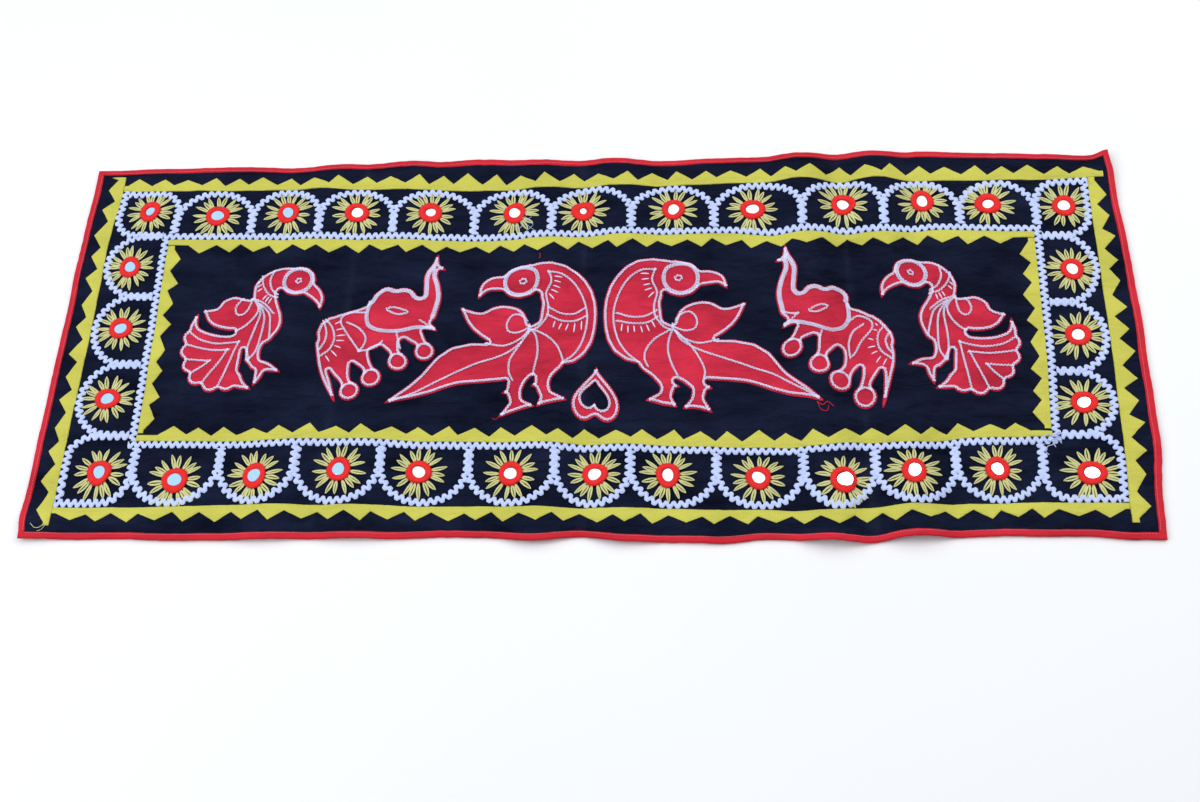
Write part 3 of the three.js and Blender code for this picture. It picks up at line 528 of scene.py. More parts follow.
class TapestrySizes(bpy.types.PropertyGroup):
    """Sizes of the cloth, braid and stitches"""
    ground_cell: length("Ground cell", "Spacing of the ground cloth's points", 0.005)
    wrinkle: length("Wrinkle", "Height of the fine wrinkles", 0.0014)
    braid_pitch: length("Braid pitch", "Length of one wave of the zigzag braid", 0.0077)
    braid_wide: length("Braid width", "Width of the zigzag braid over its bumps", 0.0088)
    braid_notch: length("Braid notch", "Depth of the notches between its bumps", 0.0036)
    braid_thick: length("Braid thickness", "Thickness of the braid", 0.0015)
    chain_length: length("Chain stitch", "Length of one chain stitch", 0.0034)
    chain_width: length("Chain width", "Width of the chain stitch line", 0.0026)
    chain_inset: length("Chain inset", "Distance of the outline stitches from the cut edge", 0.0027)
    ring_outer: length("Ring outside", "Outer radius of the thread ring round a mirror", 0.0131)
    ring_inner: length("Ring inside", "Inner radius of the thread ring round a mirror", 0.0061)
    petal_reach: length("Petal reach", "Distance of the petal tips from the mirror's middle", 0.0282)
    petal_width: length("Petal width", "Width of a petal", 0.0049)
    machine_pitch: length("Machine stitch", "Spacing of the machine stitches", 0.0027)


class TapestryColours(bpy.types.PropertyGroup):
    """Colours of the cloth, braid and threads"""
    ground: dye("Ground", "Black cotton drill", "#0f1322")
    cut_red: dye("Cut shapes", "Red cotton poplin", "#c22d41")
    binding: dye("Binding", "Red cotton tape", "#cb2c37")
    yellow: dye("Sawtooth", "Yellow cotton poplin", "#c5c054")
    braid: dye("Braid", "White zigzag braid", "#c1cdf2")
    chain: dye("Chain stitch", "White stranded cotton", "#e6dfff")
    petal: dye("Petals", "Yellow green stranded cotton", "#d2cf8c")
    ring: dye("Rings", "Red wound yarn", "#e8120a")
    floor: dye("Floor", "Pale painted floor", "#e4e3e0")


def sizes():
    """The sizes that a user may change."""
    return bpy.context.scene.tapestry_sizes


def colours():
    """The colours that a user may change."""
    return bpy.context.scene.tapestry_colours


# Shape of the lying cloth

def uneven(index, salt):
    """A steady value from -1 to 1 that makes each hand-cut piece a little different."""
    return 2 * ((index * GOLDEN_STEP + salt * PLASTIC_STEP) % 1) - 1


def ruffle(x, y, waves, seed):
    """Smooth noise from about -1 to 1, in waves so long along x and y."""
    return noise.noise(Vector((x / waves[0], y / waves[1], seed)))


def ease(share):
    """A share from 0 to 1 that starts and ends gently."""
    t = min(max(share, 0), 1)
    return t * t * (3 - 2 * t)


def between(stops, values, at):
    """The value at a place between stops, eased from one to the next."""
    if at <= stops[0]:
        return values[0]
    for k in range(1, len(stops)):
        if at <= stops[k]:
            share = ease((at - stops[k - 1]) / (stops[k] - stops[k - 1]))
            return values[k - 1] + (values[k] - values[k - 1]) * share
    return values[-1]


def drift(x, y):
    """How far hand sewing moved a point of the plan."""
    dx = between(SHORT_AT, [between(SHORT_STOPS, row["moved"], y) for row in SHORT_ROWS], x)
    dy = between(LONG_AT, [between(row.get("stops", LONG_STOPS), row["moved"], x) for row in LONG_ROWS], y)
    return dx, dy


def fold_x(fold, y):
    """Where a fold crosses a row of the plan."""
    return fold["bottom_x"] + (fold["top_x"] - fold["bottom_x"]) * (y / HEIGHT + 0.5)


def crease_height(crease, x, y):
    """Height of one soft crease at a point of the plan."""
    run = Vector((crease["x1"] - crease["x0"], crease["y1"] - crease["y0"]))
    rel = Vector((x - crease["x0"], y - crease["y0"]))
    share = rel.dot(run) / run.length_squared
    if not -CREASE_PAST < share < 1 + CREASE_PAST:
        return 0
    off = (rel - run * share).length / crease["wide"]
    if off >= CREASE_REACH:
        return 0
    fade = ease((share + CREASE_PAST) / CREASE_FADE) * ease((1 + CREASE_PAST - share) / CREASE_FADE)
    return crease["high"] * math.exp(-off * off) * fade


def lie(x, y):
    """Height of the ground's underside above the floor."""
    from_edge = min(WIDTH / 2 - abs(x), HEIGHT / 2 - abs(y))
    height = HEM["high"] * (1 - ease((from_edge - HEM["wide"]) / HEM["settles"]))
    for fold in FOLDS:
        t = min(abs(x - fold_x(fold, y)) / fold["reach"], 1)
        # The cloth is highest halfway out, where t (1 - t) squared is a sixteenth.
        height += 16 * fold["lift"] * (t * (1 - t)) ** 2
    for rise in RISES:
        t = min(math.hypot(x - rise["x"], y - rise["y"]) / rise["reach"], 1)
        height += rise["lift"] * (1 - t * t) ** 2
    height += sum(crease_height(crease, x, y) for crease in CREASES)
    fine = sum(row["share"] * ruffle(x, y, row["waves"], row["seed"]) for row in WRINKLES)
    height += sizes().wrinkle / MM * (WRINKLE_BASE + fine) * ease(from_edge / WRINKLE_CALM)
    ripple = max(ruffle(x, y, RIPPLE["waves"], RIPPLE["seed"]), 0)
    return height + RIPPLE["high"] * ripple * (1 - ease(from_edge / RIPPLE["reach"]))


def place(x, y, up):
    """A point of the plan on the lying cloth, so far above the ground's underside."""
    dx, dy = drift(x, y)
    return Vector((x + dx, y + dy, lie(x, y) + up)) * MM


def on_side(side, s, d):
    """Plan point of a place along a side."""
    return Matrix.Rotation(math.radians(side["turn"]), 2) @ Vector((s, d))


def on_figure(figure, x, y):
    """Plan point of a place in a shape's own frame."""
    turned = Matrix.Rotation(math.radians(figure["turn"]), 2) @ Vector((figure["flip"] * x, y))
    return Vector((figure["x"], figure["y"])) + figure["size"] * turned


# Lines in plan

def left_of(way):
    """The way to the left of another in plan."""
    return Vector((-way.y, way.x))


def curve_through(points, loop=False):
    """A smooth line through a row of points."""
    count = len(points)
    line = []
    for k in range(count if loop else count - 1):
        if loop:
            a, b, c, d = (points[(k + n) % count] for n in (-1, 0, 1, 2))
        else:
            a, b, c, d = (points[min(max(k + n, 0), count - 1)] for n in (-1, 0, 1, 2))
        for step in range(CURVE_STEPS):
            t = step / CURVE_STEPS
            bent = (2 * a - 5 * b + 4 * c - d) * t ** 2 + (3 * b - a - 3 * c + d) * t ** 3
            line.append((2 * b + (c - a) * t + bent) / 2)
    return line if loop else line + points[-1:]


def evenly(points, step, loop=False):
    """Points at equal steps along a line, each with the way that the line runs there."""
    line = points + points[:1] if loop else points
    run = [0]
    for a, b in zip(line, line[1:]):
        run.append(run[-1] + (b - a).length)
    count = max(round(run[-1] / step), 2)
    stations = []
    k = 0
    for n in range(count if loop else count + 1):
        want = run[-1] * n / count
        while k < len(line) - 2 and run[k + 1] < want:
            k += 1
        stations.append(line[k].lerp(line[k + 1], (want - run[k]) / max(run[k + 1] - run[k], 1e-9)))
    total = len(stations)
    ways = []
    for n in range(total):
        before = stations[n - 1] if loop else stations[max(n - 1, 0)]
        after = stations[(n + 1) % total] if loop else stations[min(n + 1, total - 1)]
        ways.append((after - before).normalized())
    return list(zip(stations, ways))


def smoothed(points, rounds, held=(), loop=True):
    """Points drawn towards their neighbours' middle, but for those held."""
    count = len(points)
    for _ in range(rounds):
        points = [
            p if k in held or not loop and k in (0, count - 1)
            else 0.5 * p + 0.25 * (points[k - 1] + points[(k + 1) % count])
            for k, p in enumerate(points)
        ]
    return points


def finder(points):
    """A tree that finds the nearest of these plan points."""
    tree = kdtree.KDTree(len(points))
    for k, point in enumerate(points):
        tree.insert((*point, 0), k)
    tree.balance()
    return tree


# Small helpers for meshes

def sheet_grid(bm, columns, rows, at, uv=None):
    """A sheet of columns by rows points, each moved to at(i, j), with a map where uv(i, j) gives one."""
    verts = bmesh.ops.create_grid(bm, x_segments=columns - 1, y_segments=rows - 1, size=1)["verts"]
    index = {}
    for k, vert in enumerate(verts):
        vert.co = at(k % columns, k // columns)
        index[vert] = k
    if uv:
        layer = bm.loops.layers.uv.verify()
        for face in {face for vert in verts for face in vert.link_faces}:
            for loop in face.loops:
                k = index[loop.vert]
                loop[layer].uv = uv(k % columns, k // columns)
    return verts


def tube(rings, uv_step, closed=False):
    """A tube through rings of points, capped at its ends or joined end to end."""
    bm = bmesh.new()
    around = len(rings[0])
    rows = rings + rings[:1] if closed else rings
    sheet_grid(
        bm, len(rows), around + 1,
        lambda i, j: rows[i][j % around],
        lambda i, j: (i * uv_step, j / around),
    )
    bmesh.ops.remove_doubles(bm, verts=bm.verts, dist=1e-8)
    if not closed:
        bmesh.ops.holes_fill(bm, edges=[e for e in bm.edges if e.is_boundary], sides=around)
    bmesh.ops.recalc_face_normals(bm, faces=bm.faces)
    return bm


def strand_ring(middle, across, up, half_wide, half_high, corners, turned=0.0):
    """Points round a strand of thread on the cloth, half_wide across and half_high up from its middle."""
    ring = []
    for n in range(corners):
        turn = 2 * math.pi * n / corners + turned
        at = middle + across * half_wide * math.cos(turn)
        ring.append(place(at.x, at.y, up + half_high * math.sin(turn)))
    return ring


def backed(bm, drop):
    """Close a sheet into thin cloth by a second face so far below it."""
    made = bmesh.ops.extrude_face_region(bm, geom=bm.faces[:], use_keep_orig=True)
    lower = [item for item in made["geom"] if isinstance(item, bmesh.types.BMVert)]
    bmesh.ops.translate(bm, verts=lower, vec=(0, 0, -drop * MM))
    bmesh.ops.recalc_face_normals(bm, faces=bm.faces)


def joined(bm, part):
    """Add a small mesh to bm."""
    scratch = bpy.data.meshes.get("sewing") or bpy.data.meshes.new("sewing")
    part.to_mesh(scratch)
    part.free()
    bm.from_mesh(scratch)


def stamped(bm, shape, matrix):
    """Add a copy of a small shape to bm, laid at a matrix."""
    copy = shape.copy()
    bmesh.ops.transform(copy, matrix=matrix, verts=copy.verts)
    joined(bm, copy)


def lain(point, way, up, size):
    """Matrix that lays a shape of unit size on the cloth at a plan point, along a way."""
    middle = place(point.x, point.y, up)
    ahead = (place(point.x + way.x, point.y + way.y, up) - middle).normalized()
    across = place(point.x - way.y, point.y + way.x, up) - middle
    normal = ahead.cross(across).normalized()
    turn = Matrix((ahead, normal.cross(ahead), normal)).transposed().to_4x4()
    return Matrix.Translation(middle) @ turn @ Matrix.Diagonal((*size, 1))


def piece_of(bm, name, material, slot, nodes=(), sharp=50):
    """Turn a mesh into a piece that rides with the cloth and stands for its solids."""
    mesh = bpy.data.meshes.new(name)
    for face in bm.faces:
        face.smooth = True
    bm.to_mesh(mesh)
    bm.free()
    mesh.set_sharp_from_angle(angle=math.radians(sharp))
    mesh.materials.append(material)
    piece = bpy.data.objects.new(name, mesh)
    bpy.context.scene.collection.objects.link(piece)
    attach(piece, "root")
    if nodes:
        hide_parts(*nodes)
    return piece


# Materials

def add(tree, kind, inputs=None, **settings):
    """Add a node with its settings, its values and its links.

    Inputs go by name, or by number where a node has several of one name.
    """
    made = tree.nodes.new(kind)
    for name, value in settings.items():
        setattr(made, name, value)
    for name, value in (inputs or {}).items():
        if isinstance(value, bpy.types.NodeSocket):
            tree.links.new(value, made.inputs[name])
        else:
            made.inputs[name].default_value = value
    return made


def started(name):
    """A new material, its empty tree and the place on the piece that its patterns read."""
    material = bpy.data.materials.new(name)
    material.use_nodes = True
    tree = material.node_tree
    tree.nodes.clear()
    return material, tree, add(tree, "ShaderNodeTexCoord").outputs["Object"]


def band_scale(wide):
    """Scale of a wave texture whose bands are so wide: at a scale of 1 they repeat every tenth of pi."""
    return 0.1 * math.pi / wide


def cloud_scale(kind):
    """Scale of a noise texture whose patches are as wide as the table says."""
    return 1 / (CLOUDS[kind] * MM)


def shade(colour, times):
    """A colour so many times as bright, for a socket."""
    return (*(min(part * times, 1) for part in colour), 1)


def woven_cotton(name, colour, thread, slant, patchy, creased, worn=None):
    """Matt cotton cloth: crossed threads with painted shade between them, a mottle of dye and painted wrinkle
    shade, and a soft nap that greys the folds.
    """
    material, tree, spot = started(name)
    turned = add(tree, "ShaderNodeMapping", {"Vector": spot, "Rotation": (0, 0, slant)}).outputs["Vector"]
    wave = {
        "Vector": turned, "Scale": band_scale(thread), "Distortion": 1.2, "Detail": 2.0, "Detail Scale": 1.5,
    }
    warp = add(tree, "ShaderNodeTexWave", wave, bands_direction="X").outputs["Fac"]
    weft = add(tree, "ShaderNodeTexWave", wave, bands_direction="Y").outputs["Fac"]
    cross = add(tree, "ShaderNodeMath", {0: warp, 1: weft}, operation="MULTIPLY").outputs[0]
    drawn = {"Vector": spot, "Rotation": (0, 0, 0.2), "Scale": (0.6, 1.5, 1.0)}
    streak = add(tree, "ShaderNodeMapping", drawn).outputs["Vector"]
    cloudy = {"Vector": streak, "Scale": cloud_scale("dye"), "Detail": 6.0, "Roughness": 0.66}
    cloud = add(tree, "ShaderNodeTexNoise", cloudy).outputs["Fac"]
    # The mottle is partly uneven dye and partly painted light and shade of wrinkles and folds; patchy sets
    # both.
    dye_and_wrinkle_shade = add(tree, "ShaderNodeMapRange", {"Value": cloud, "From Min": 0.32, "From Max": 0.68}).outputs[0]
    mottled_colours = {0: dye_and_wrinkle_shade, 6: shade(colour, 1 - patchy), 7: shade(colour, 1 + patchy)}
    mottled_colour = add(tree, "ShaderNodeMix", mottled_colours, data_type="RGBA").outputs[2]
    # Painted shade: the colour is darker in the gaps between the crossed threads, besides their bump.
    painted_weave_shade = add(tree, "ShaderNodeMapRange", {"Value": cross, "To Min": 0.82, "To Max": 1.08}).outputs[0]
    shown = add(tree, "ShaderNodeVectorMath", {0: mottled_colour, "Scale": painted_weave_shade}, operation="SCALE").outputs[0]
    if worn:
        wear = add(tree, "ShaderNodeAttribute", attribute_name="wear").outputs["Fac"]
        shown = add(tree, "ShaderNodeMix", {0: wear, 6: shown, 7: (*worn, 1)}, data_type="RGBA").outputs[2]
    flecked = {"Vector": spot, "Scale": cloud_scale("fleck"), "Detail": 2.0}
    fleck = add(tree, "ShaderNodeTexNoise", flecked).outputs["Fac"]
    nap = add(tree, "ShaderNodeMath", {0: fleck, 1: 0.35, 2: cross}, operation="MULTIPLY_ADD").outputs[0]
    crumpled = {
        "Vector": streak, "Scale": cloud_scale("crumple"), "Detail": 4.0, "Roughness": 0.55,
        "Distortion": 0.9,
    }
    crumple = add(tree, "ShaderNodeTexNoise", crumpled).outputs["Fac"]
    soft = add(tree, "ShaderNodeBump", {"Height": crumple, "Distance": creased}).outputs[0]
    relief = {"Height": nap, "Strength": 0.35, "Distance": thread * 0.3, "Normal": soft}
    bump = add(tree, "ShaderNodeBump", relief).outputs[0]
    rough = add(tree, "ShaderNodeMapRange", {"Value": fleck, "To Min": 0.78, "To Max": 0.98}).outputs[0]
    # Cotton reflects little, and its shine is tinted by the dye.
    skin = {
        "Base Color": shown, "Roughness": rough, "Normal": bump, "Specular IOR Level": 0.2,
        "Specular Tint": shade(colour, 1 / max(colour)),
    }
    surface = add(tree, "ShaderNodeBsdfPrincipled", skin)
    add(tree, "ShaderNodeOutputMaterial", {"Surface": surface.outputs[0]})
    return material


def twisted_cotton(name, colour, ply, gloss):
    """Mercerised thread: slanting plies that catch a little light, with painted shade between them."""
    material, tree, spot = started(name)
    along = add(tree, "ShaderNodeUVMap").outputs[0]
    slanted = add(tree, "ShaderNodeMapping", {"Vector": along, "Rotation": (0, 0, 0.5)}).outputs[0]
    wave = {"Vector": slanted, "Scale": band_scale(ply), "Distortion": 0.6}
    plies = add(tree, "ShaderNodeTexWave", wave, bands_direction="X").outputs["Fac"]
    cloudy = {"Vector": spot, "Scale": cloud_scale("yarn"), "Detail": 4.0}
    cloud = add(tree, "ShaderNodeTexNoise", cloudy).outputs["Fac"]
    mottled_colours = {0: cloud, 6: shade(colour, 0.84), 7: shade(colour, 1.12)}
    mottled_colour = add(tree, "ShaderNodeMix", mottled_colours, data_type="RGBA").outputs[2]
    # Painted shade: the colour is darker in the grooves between the plies, besides their bump.
    deep = add(tree, "ShaderNodeMapRange", {"Value": plies, "To Min": 0.86, "To Max": 1.06}).outputs[0]
    shown = add(tree, "ShaderNodeVectorMath", {0: mottled_colour, "Scale": deep}, operation="SCALE").outputs[0]
    shine = {"Value": cloud, "To Min": gloss, "To Max": gloss + 0.2}
    rough = add(tree, "ShaderNodeMapRange", shine).outputs[0]
    bump = add(tree, "ShaderNodeBump", {"Height": plies, "Strength": 0.4, "Distance": ply * 0.3}).outputs[0]
    skin = {
        "Base Color": shown, "Roughness": rough, "Normal": bump, "Specular IOR Level": 0.35,
        "Sheen Weight": 0.04, "Sheen Roughness": 0.5,
    }
    surface = add(tree, "ShaderNodeBsdfPrincipled", skin)
    add(tree, "ShaderNodeOutputMaterial", {"Surface": surface.outputs[0]})
    return material


def silvered_glass():
    """Hand-cut mirror glass: a bright clear reflection with a few cloudy patches in the silver."""
    material, tree, spot = started("silvered_mirror_glass")
    cloudy = {"Vector": spot, "Scale": cloud_scale("silver"), "Detail": 5.0, "Roughness": 0.7}
    cloud = add(tree, "ShaderNodeTexNoise", cloudy).outputs["Fac"]
    dulled = {"Value": cloud, "From Min": 0.55, "From Max": 0.8, "To Min": 0.03, "To Max": 0.22}
    dull = add(tree, "ShaderNodeMapRange", dulled).outputs[0]
    tones = {0: cloud, 6: (*srgb("#f6f8fb"), 1), 7: (*srgb("#dfe6ec"), 1)}
    tone = add(tree, "ShaderNodeMix", tones, data_type="RGBA").outputs[2]
    rippled = {"Vector": spot, "Scale": cloud_scale("glass"), "Detail": 1.0}
    ripple = add(tree, "ShaderNodeTexNoise", rippled).outputs["Fac"]
    bump = add(tree, "ShaderNodeBump", {"Height": ripple, "Strength": 0.1, "Distance": 0.2 * MM}).outputs[0]
    skin = {"Base Color": tone, "Roughness": dull, "Normal": bump, "Metallic": 1.0}
    surface = add(tree, "ShaderNodeBsdfPrincipled", skin)
    add(tree, "ShaderNodeOutputMaterial", {"Surface": surface.outputs[0]})
    return material


def painted_floor():
    """Smooth matt paint, nearly white, with a faint cloudiness."""
    material, tree, spot = started("matt_painted_floor")
    paint = colours().floor
    cloudy = {"Vector": spot, "Scale": cloud_scale("paint"), "Detail": 3.0}
    cloud = add(tree, "ShaderNodeTexNoise", cloudy).outputs["Fac"]
    tones = {0: cloud, 6: shade(paint, 0.97), 7: shade(paint, 1.02)}
    tone = add(tree, "ShaderNodeMix", tones, data_type="RGBA").outputs[2]
    skin = {"Base Color": tone, "Roughness": 0.9, "Specular IOR Level": 0.1}
    surface = add(tree, "ShaderNodeBsdfPrincipled", skin)
    add(tree, "ShaderNodeOutputMaterial", {"Surface": surface.outputs[0]})
    return material


def once(name, make, colour, **finish):
    """A material that is made the first time it is asked for."""
    return bpy.data.materials.get(name) or make(name, colour, **finish)


# Each cloth and thread by its name. Real threads are three to six times finer than these, and would not show.

def black_drill():
    """Drill: a slanting rib of 0.5 mm, four times coarser here."""
    return once(
        "black_cotton_drill", woven_cotton, colours().ground,
        # Its strong mottle is mostly painted light and shade of wrinkles and folds.
        thread=0.002, slant=math.radians(58), patchy=0.8, creased=0.01, worn=srgb("#3a4052"),
    )


def red_poplin():
    """Poplin: threads of 0.25 mm, six times coarser here."""
    return once(
        "red_cotton_poplin", woven_cotton, colours().cut_red,
        thread=0.0015, slant=0.1, patchy=0.27, creased=0.006,
    )


def yellow_poplin():
    """Poplin again, starched flatter and dyed more evenly."""
    return once(
        "yellow_cotton_poplin", woven_cotton, colours().yellow,
        thread=0.0015, slant=0.05, patchy=0.1, creased=0.0028,
    )


def red_tape():
    """Binding tape cut on the slant: threads of 0.3 mm, five times coarser here."""
    return once(
        "red_cotton_tape", woven_cotton, colours().binding,
        thread=0.0015, slant=math.radians(30), patchy=0.16, creased=0.003,
    )


def braid_cotton():
    """Braid: yarns of 0.4 mm, three times coarser here, and less shiny than thread."""
    return once("white_rickrack_braid", twisted_cotton, colours().braid, ply=0.0012, gloss=0.6)


def chain_cotton():
    """Stranded cotton, with the soft shine of embroidery thread."""
    return once("white_stranded_cotton", twisted_cotton, colours().chain, ply=0.0012, gloss=0.5)


def petal_cotton():
    """Stranded cotton of finer plies."""
    return once("yellow_green_stranded_cotton", twisted_cotton, colours().petal, ply=0.0011, gloss=0.5)


def ring_yarn():
    """Thick yarn, the shiniest of the threads."""
    return once("red_wound_yarn", twisted_cotton, colours().ring, ply=0.0016, gloss=0.45)


def sewing_thread():
    """Machine thread, white that has taken red dye from the binding."""
    return once("pale_sewing_thread", twisted_cotton, srgb("#d4808a"), ply=0.0008, gloss=0.5)


# Ground cloth and binding

def sew_ground():
    """The black ground in its folds, greyed along them."""
    bm = bmesh.new()
    wear = bm.verts.layers.float.new("wear")
    half_x, half_y = WIDTH / 2 - GROUND_INSET, HEIGHT / 2 - GROUND_INSET
    columns = round(2 * half_x * MM / sizes().ground_cell) + 1
    rows = round(2 * half_y * MM / sizes().ground_cell) + 1

    def at(i, j):
        x = half_x * (2 * i / (columns - 1) - 1)
        y = half_y * (2 * j / (rows - 1) - 1)
        return place(x, y, GROUND_THICK)

    for vert in sheet_grid(bm, columns, rows, at):
        x, y = vert.co.x / MM, vert.co.y / MM
        faded = sum(math.exp(-(((x - fold_x(fold, y)) / WEAR["wide"]) ** 2)) for fold in FOLDS)
        patchy = WEAR["steady"] + (1 - WEAR["steady"]) * ruffle(x, y, WEAR["waves"], WEAR["seed"])
        vert[wear] = WEAR["share"] * faded * patchy
    backed(bm, GROUND_THICK)
    ground = piece_of(bm, "ground_sheet", black_drill(), "black_cotton", ["ground_cloth"])
    return ground


def sew_binding(side):
    """A red strip folded round one edge, with the puckers of its seam on top."""
    bm = bmesh.new()
    half = side["after"]["edge"]
    columns = round(2 * half / BINDING["step"]) + 1

    def at(i, j):
        section = BINDING_SECTION[j]
        along = 2 * i / (columns - 1) - 1
        s = along * (half - section["inset"])
        calm = ease((half - abs(s)) / BINDING["calm"])
        waver, shake, pucker = (
            row["far"] * ruffle(s, side["turn"], (row["wave"], 1), row["seed"]) for row in BINDING_WANDER
        )
        d = side["edge"] - section["inset"] + (waver + shake) * calm
        point = on_side(side, s, min(d, side["edge"] + BINDING["past_edge"]))
        return place(point.x, point.y, section["up"] + (pucker if section["up"] > BINDING["top"] else 0))

    sheet_grid(bm, columns, len(BINDING_SECTION), at)
    bmesh.ops.solidify(bm, geom=bm.faces[:], thickness=BINDING["thick"] * MM)
    nodes = [f"binding_{side['name']}"]
    piece = piece_of(bm, f"binding_strip_{side['name']}", red_tape(), "red_binding", nodes)
    return piece


# Sawtooth strips

def tooth_edge(ends, plain, salt, flare=0):
    """The toothed edge of a strip as (s, depth) from end to end."""
    low, high = ends
    count = round((high - low - 2 * plain) / TOOTH["pitch"])
    pitch = (high - low - 2 * plain) / count
    edge = []
    for k in range(count + 1):
        wander = pitch * TOOTH["wander"] * uneven(k, salt) if 0 < k < count else 0
        band = TOOTH["band"] + TOOTH["band_wander"] * uneven(k, salt + 1)
        if k:
            tip = low + plain + (k - 0.5 + TOOTH["wander"] * uneven(k, salt + 2)) * pitch
            edge.append((tip, TOOTH["band"] + TOOTH["deep"] + TOOTH["deep_wander"] * uneven(k, salt + 3)))
        else:
            edge.append((low, band))
        edge.append((low + plain + k * pitch + wander, band))
        if k == count:
            edge.append((high, band + flare))
    return edge


def sew_strip(side, name, straight, ends, plain, way, salt, flare=0):
    """A yellow strip with teeth on one edge and its other edge turned under."""
    bm = bmesh.new()
    edge = [Vector(point) for point in tooth_edge(ends, plain, salt, flare)]
    stations = []
    for a, b in zip(edge, edge[1:]):
        stations += [a.lerp(b, k / TOOTH["steps"]) for k in range(TOOTH["steps"])]
    stations.append(edge[-1])

    def at(i, j):
        section = STRIP_SECTION[j]
        s, deep = stations[i]
        if 0 < section["share"] < 1:
            frayed = 0
            puff = STRIP["puff"] * ruffle(s, deep, STRIP["puff_waves"], salt)
        else:
            frayed = STRIP["fray"] * ruffle(s, salt, (STRIP["fray_wave"], 1), j)
            puff = 0
        point = on_side(side, s, straight + way * (section["share"] * deep + frayed))
        return place(point.x, point.y, section["up"] + puff)

    columns = len(stations)
    # Columns run against the sides' way where the teeth point inwards, so that the face looks up.
    sheet_grid(bm, columns, len(STRIP_SECTION), at if way > 0 else lambda i, j: at(columns - 1 - i, j))
    backed(bm, STRIP["thick"])
    nodes = [f"{name}_{side['name']}"]
    piece = piece_of(bm, f"{name}_strip_{side['name']}", yellow_poplin(), "yellow_cotton", nodes)
    return piece


# Zigzag braid

def braid_along(bm, side, path, lift, phase):
    """Lay a length of zigzag braid along a path on a side."""
    size = sizes()
    pitch, half, notch = size.braid_pitch / MM, size.braid_wide / MM / 2, size.braid_notch / MM
    steps = BRAID["wave_steps"]
    line = [on_side(side, s, d) for s, d in path]
    rings = []
    for k, (point, way) in enumerate(evenly(line, pitch / steps)):
        across = left_of(way)
        # Round bumps with narrow notches between them; each bump stands against a notch.
        wave = (1 + math.cos(2 * math.pi * k / steps + phase)) / 2
        left = half - notch * (1 - wave) ** BRAID["notch_power"]
        right = notch * wave ** BRAID["notch_power"] - half
        stray = BRAID["stray"] * uneven(k // steps, phase)
        ring = []
        for row in BRAID_SECTION:
            at = point + across * (stray + (left + right + row["across"] * (left - right)) / 2)
            ring.append(place(at.x, at.y, BRAID["seat"] + lift + row["up"] * size.braid_thick / MM))
        rings.append(ring)
    joined(bm, tube(rings, size.braid_pitch / steps))


def arch_path(side, low, high):
    """Two legs up from the rail and a round crown."""
    leg = side["foot"] + BRAID["leg_share"] * (side["crown"] - side["foot"])
    path = [(low, side["foot"]), (low, leg)]
    for k in range(1, ARCH_STEPS):
        angle = math.pi * (1 - k / ARCH_STEPS)
        s = (low + high) / 2 + (high - low) / 2 * math.cos(angle)
        path.append((s, leg + (side["crown"] - leg) * math.sin(angle)))
    return path + [(high, leg), (high, side["foot"])]


def corner_paths(side):
    """Halves of the loops at both ends of a side: up from the rail, round, and along the crowns."""
    r = BRAID["corner_radius"]
    half = BRAID["wide"] / 2
    paths = []
    for leg, way, corner in (
        (side["start"] - BRAID["leg_pitch"] / 2, -1, half - side["before"]["crown"]),
        (side["end"] + BRAID["leg_pitch"] / 2, 1, side["after"]["crown"] + half),
    ):
        path = [(leg, side["foot"]), (leg, side["crown"] - r)]
        for k in range(1, CORNER_STEPS + 1):
            angle = math.pi / 2 * k / CORNER_STEPS
            path.append((leg + way * r * (1 - math.cos(angle)), side["crown"] - r + r * math.sin(angle)))
        paths.append(path + [(corner, side["crown"])])
    return paths


def braid_piece(bm, name, side, node):
    """Braid of one side as a piece."""
    nodes = [f"{node}_{side['name']}"]
    return piece_of(bm, f"{name}_{side['name']}", braid_cotton(), "white_braid", nodes, sharp=60)


def sew_scallops(side, number):
    """The arches of one side, every other one laid over its neighbours."""
    bm = bmesh.new()
    for k, path in enumerate(corner_paths(side)):
        braid_along(bm, side, path, BRAID["over"] * k, BRAID["corner_phase"] * k + number)
    low = side["start"]
    leg = BRAID["leg_pitch"] / 2
    for k, cell in enumerate(side["cells"]):
        path = arch_path(side, low + leg, low + cell - leg)
        braid_along(bm, side, path, BRAID["over"] * (k % 2), BRAID["arch_phase"] * k + number)
        low += cell
    return braid_piece(bm, "scallop_braid", side, "scallops")


def sew_rail(side, number):
    """The straight braid on which one side's arches stand."""
    bm = bmesh.new()
    half = BRAID["wide"] / 2
    past = half if side["long"] else -half - TRIM_GAP
    ends = (-side["before"]["rail"] - past, side["after"]["rail"] + past)
    path = [(s, side["rail"]) for s in (ends[0], 0, ends[1])]
    braid_along(bm, side, path, 0, BRAID["rail_phase"] * number)
    return braid_piece(bm, "rail_braid", side, "rail")


# Red cut shapes and their chain stitch

def top_outlines(name):
    """Edges of a solid's upper face in plan, as closed rows of points with the cloth on their left."""
    bm = bmesh.new()
    bm.from_mesh(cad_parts[name].data)
    bmesh.ops.remove_doubles(bm, verts=bm.verts, dist=1e-6)
    bmesh.ops.delete(bm, geom=[f for f in bm.faces if f.normal.z < CUT["upward"]], context="FACES")
    follows = {}
    for edge in bm.edges:
        if edge.is_boundary:
            loop = edge.link_loops[0]
            follows[loop.vert] = loop.link_loop_next.vert
    outlines = []
    while follows:
        first, after = follows.popitem()
        row = [first]
        while after in follows:
            row.append(after)
            after = follows.pop(after)
        if len(row) >= CUT["fewest_points"]:
            outlines.append([Vector((vert.co.x, vert.co.y)) / MM for vert in row])
    bm.free()
    return sorted(outlines, key=lambda row: min(point.x for point in row))


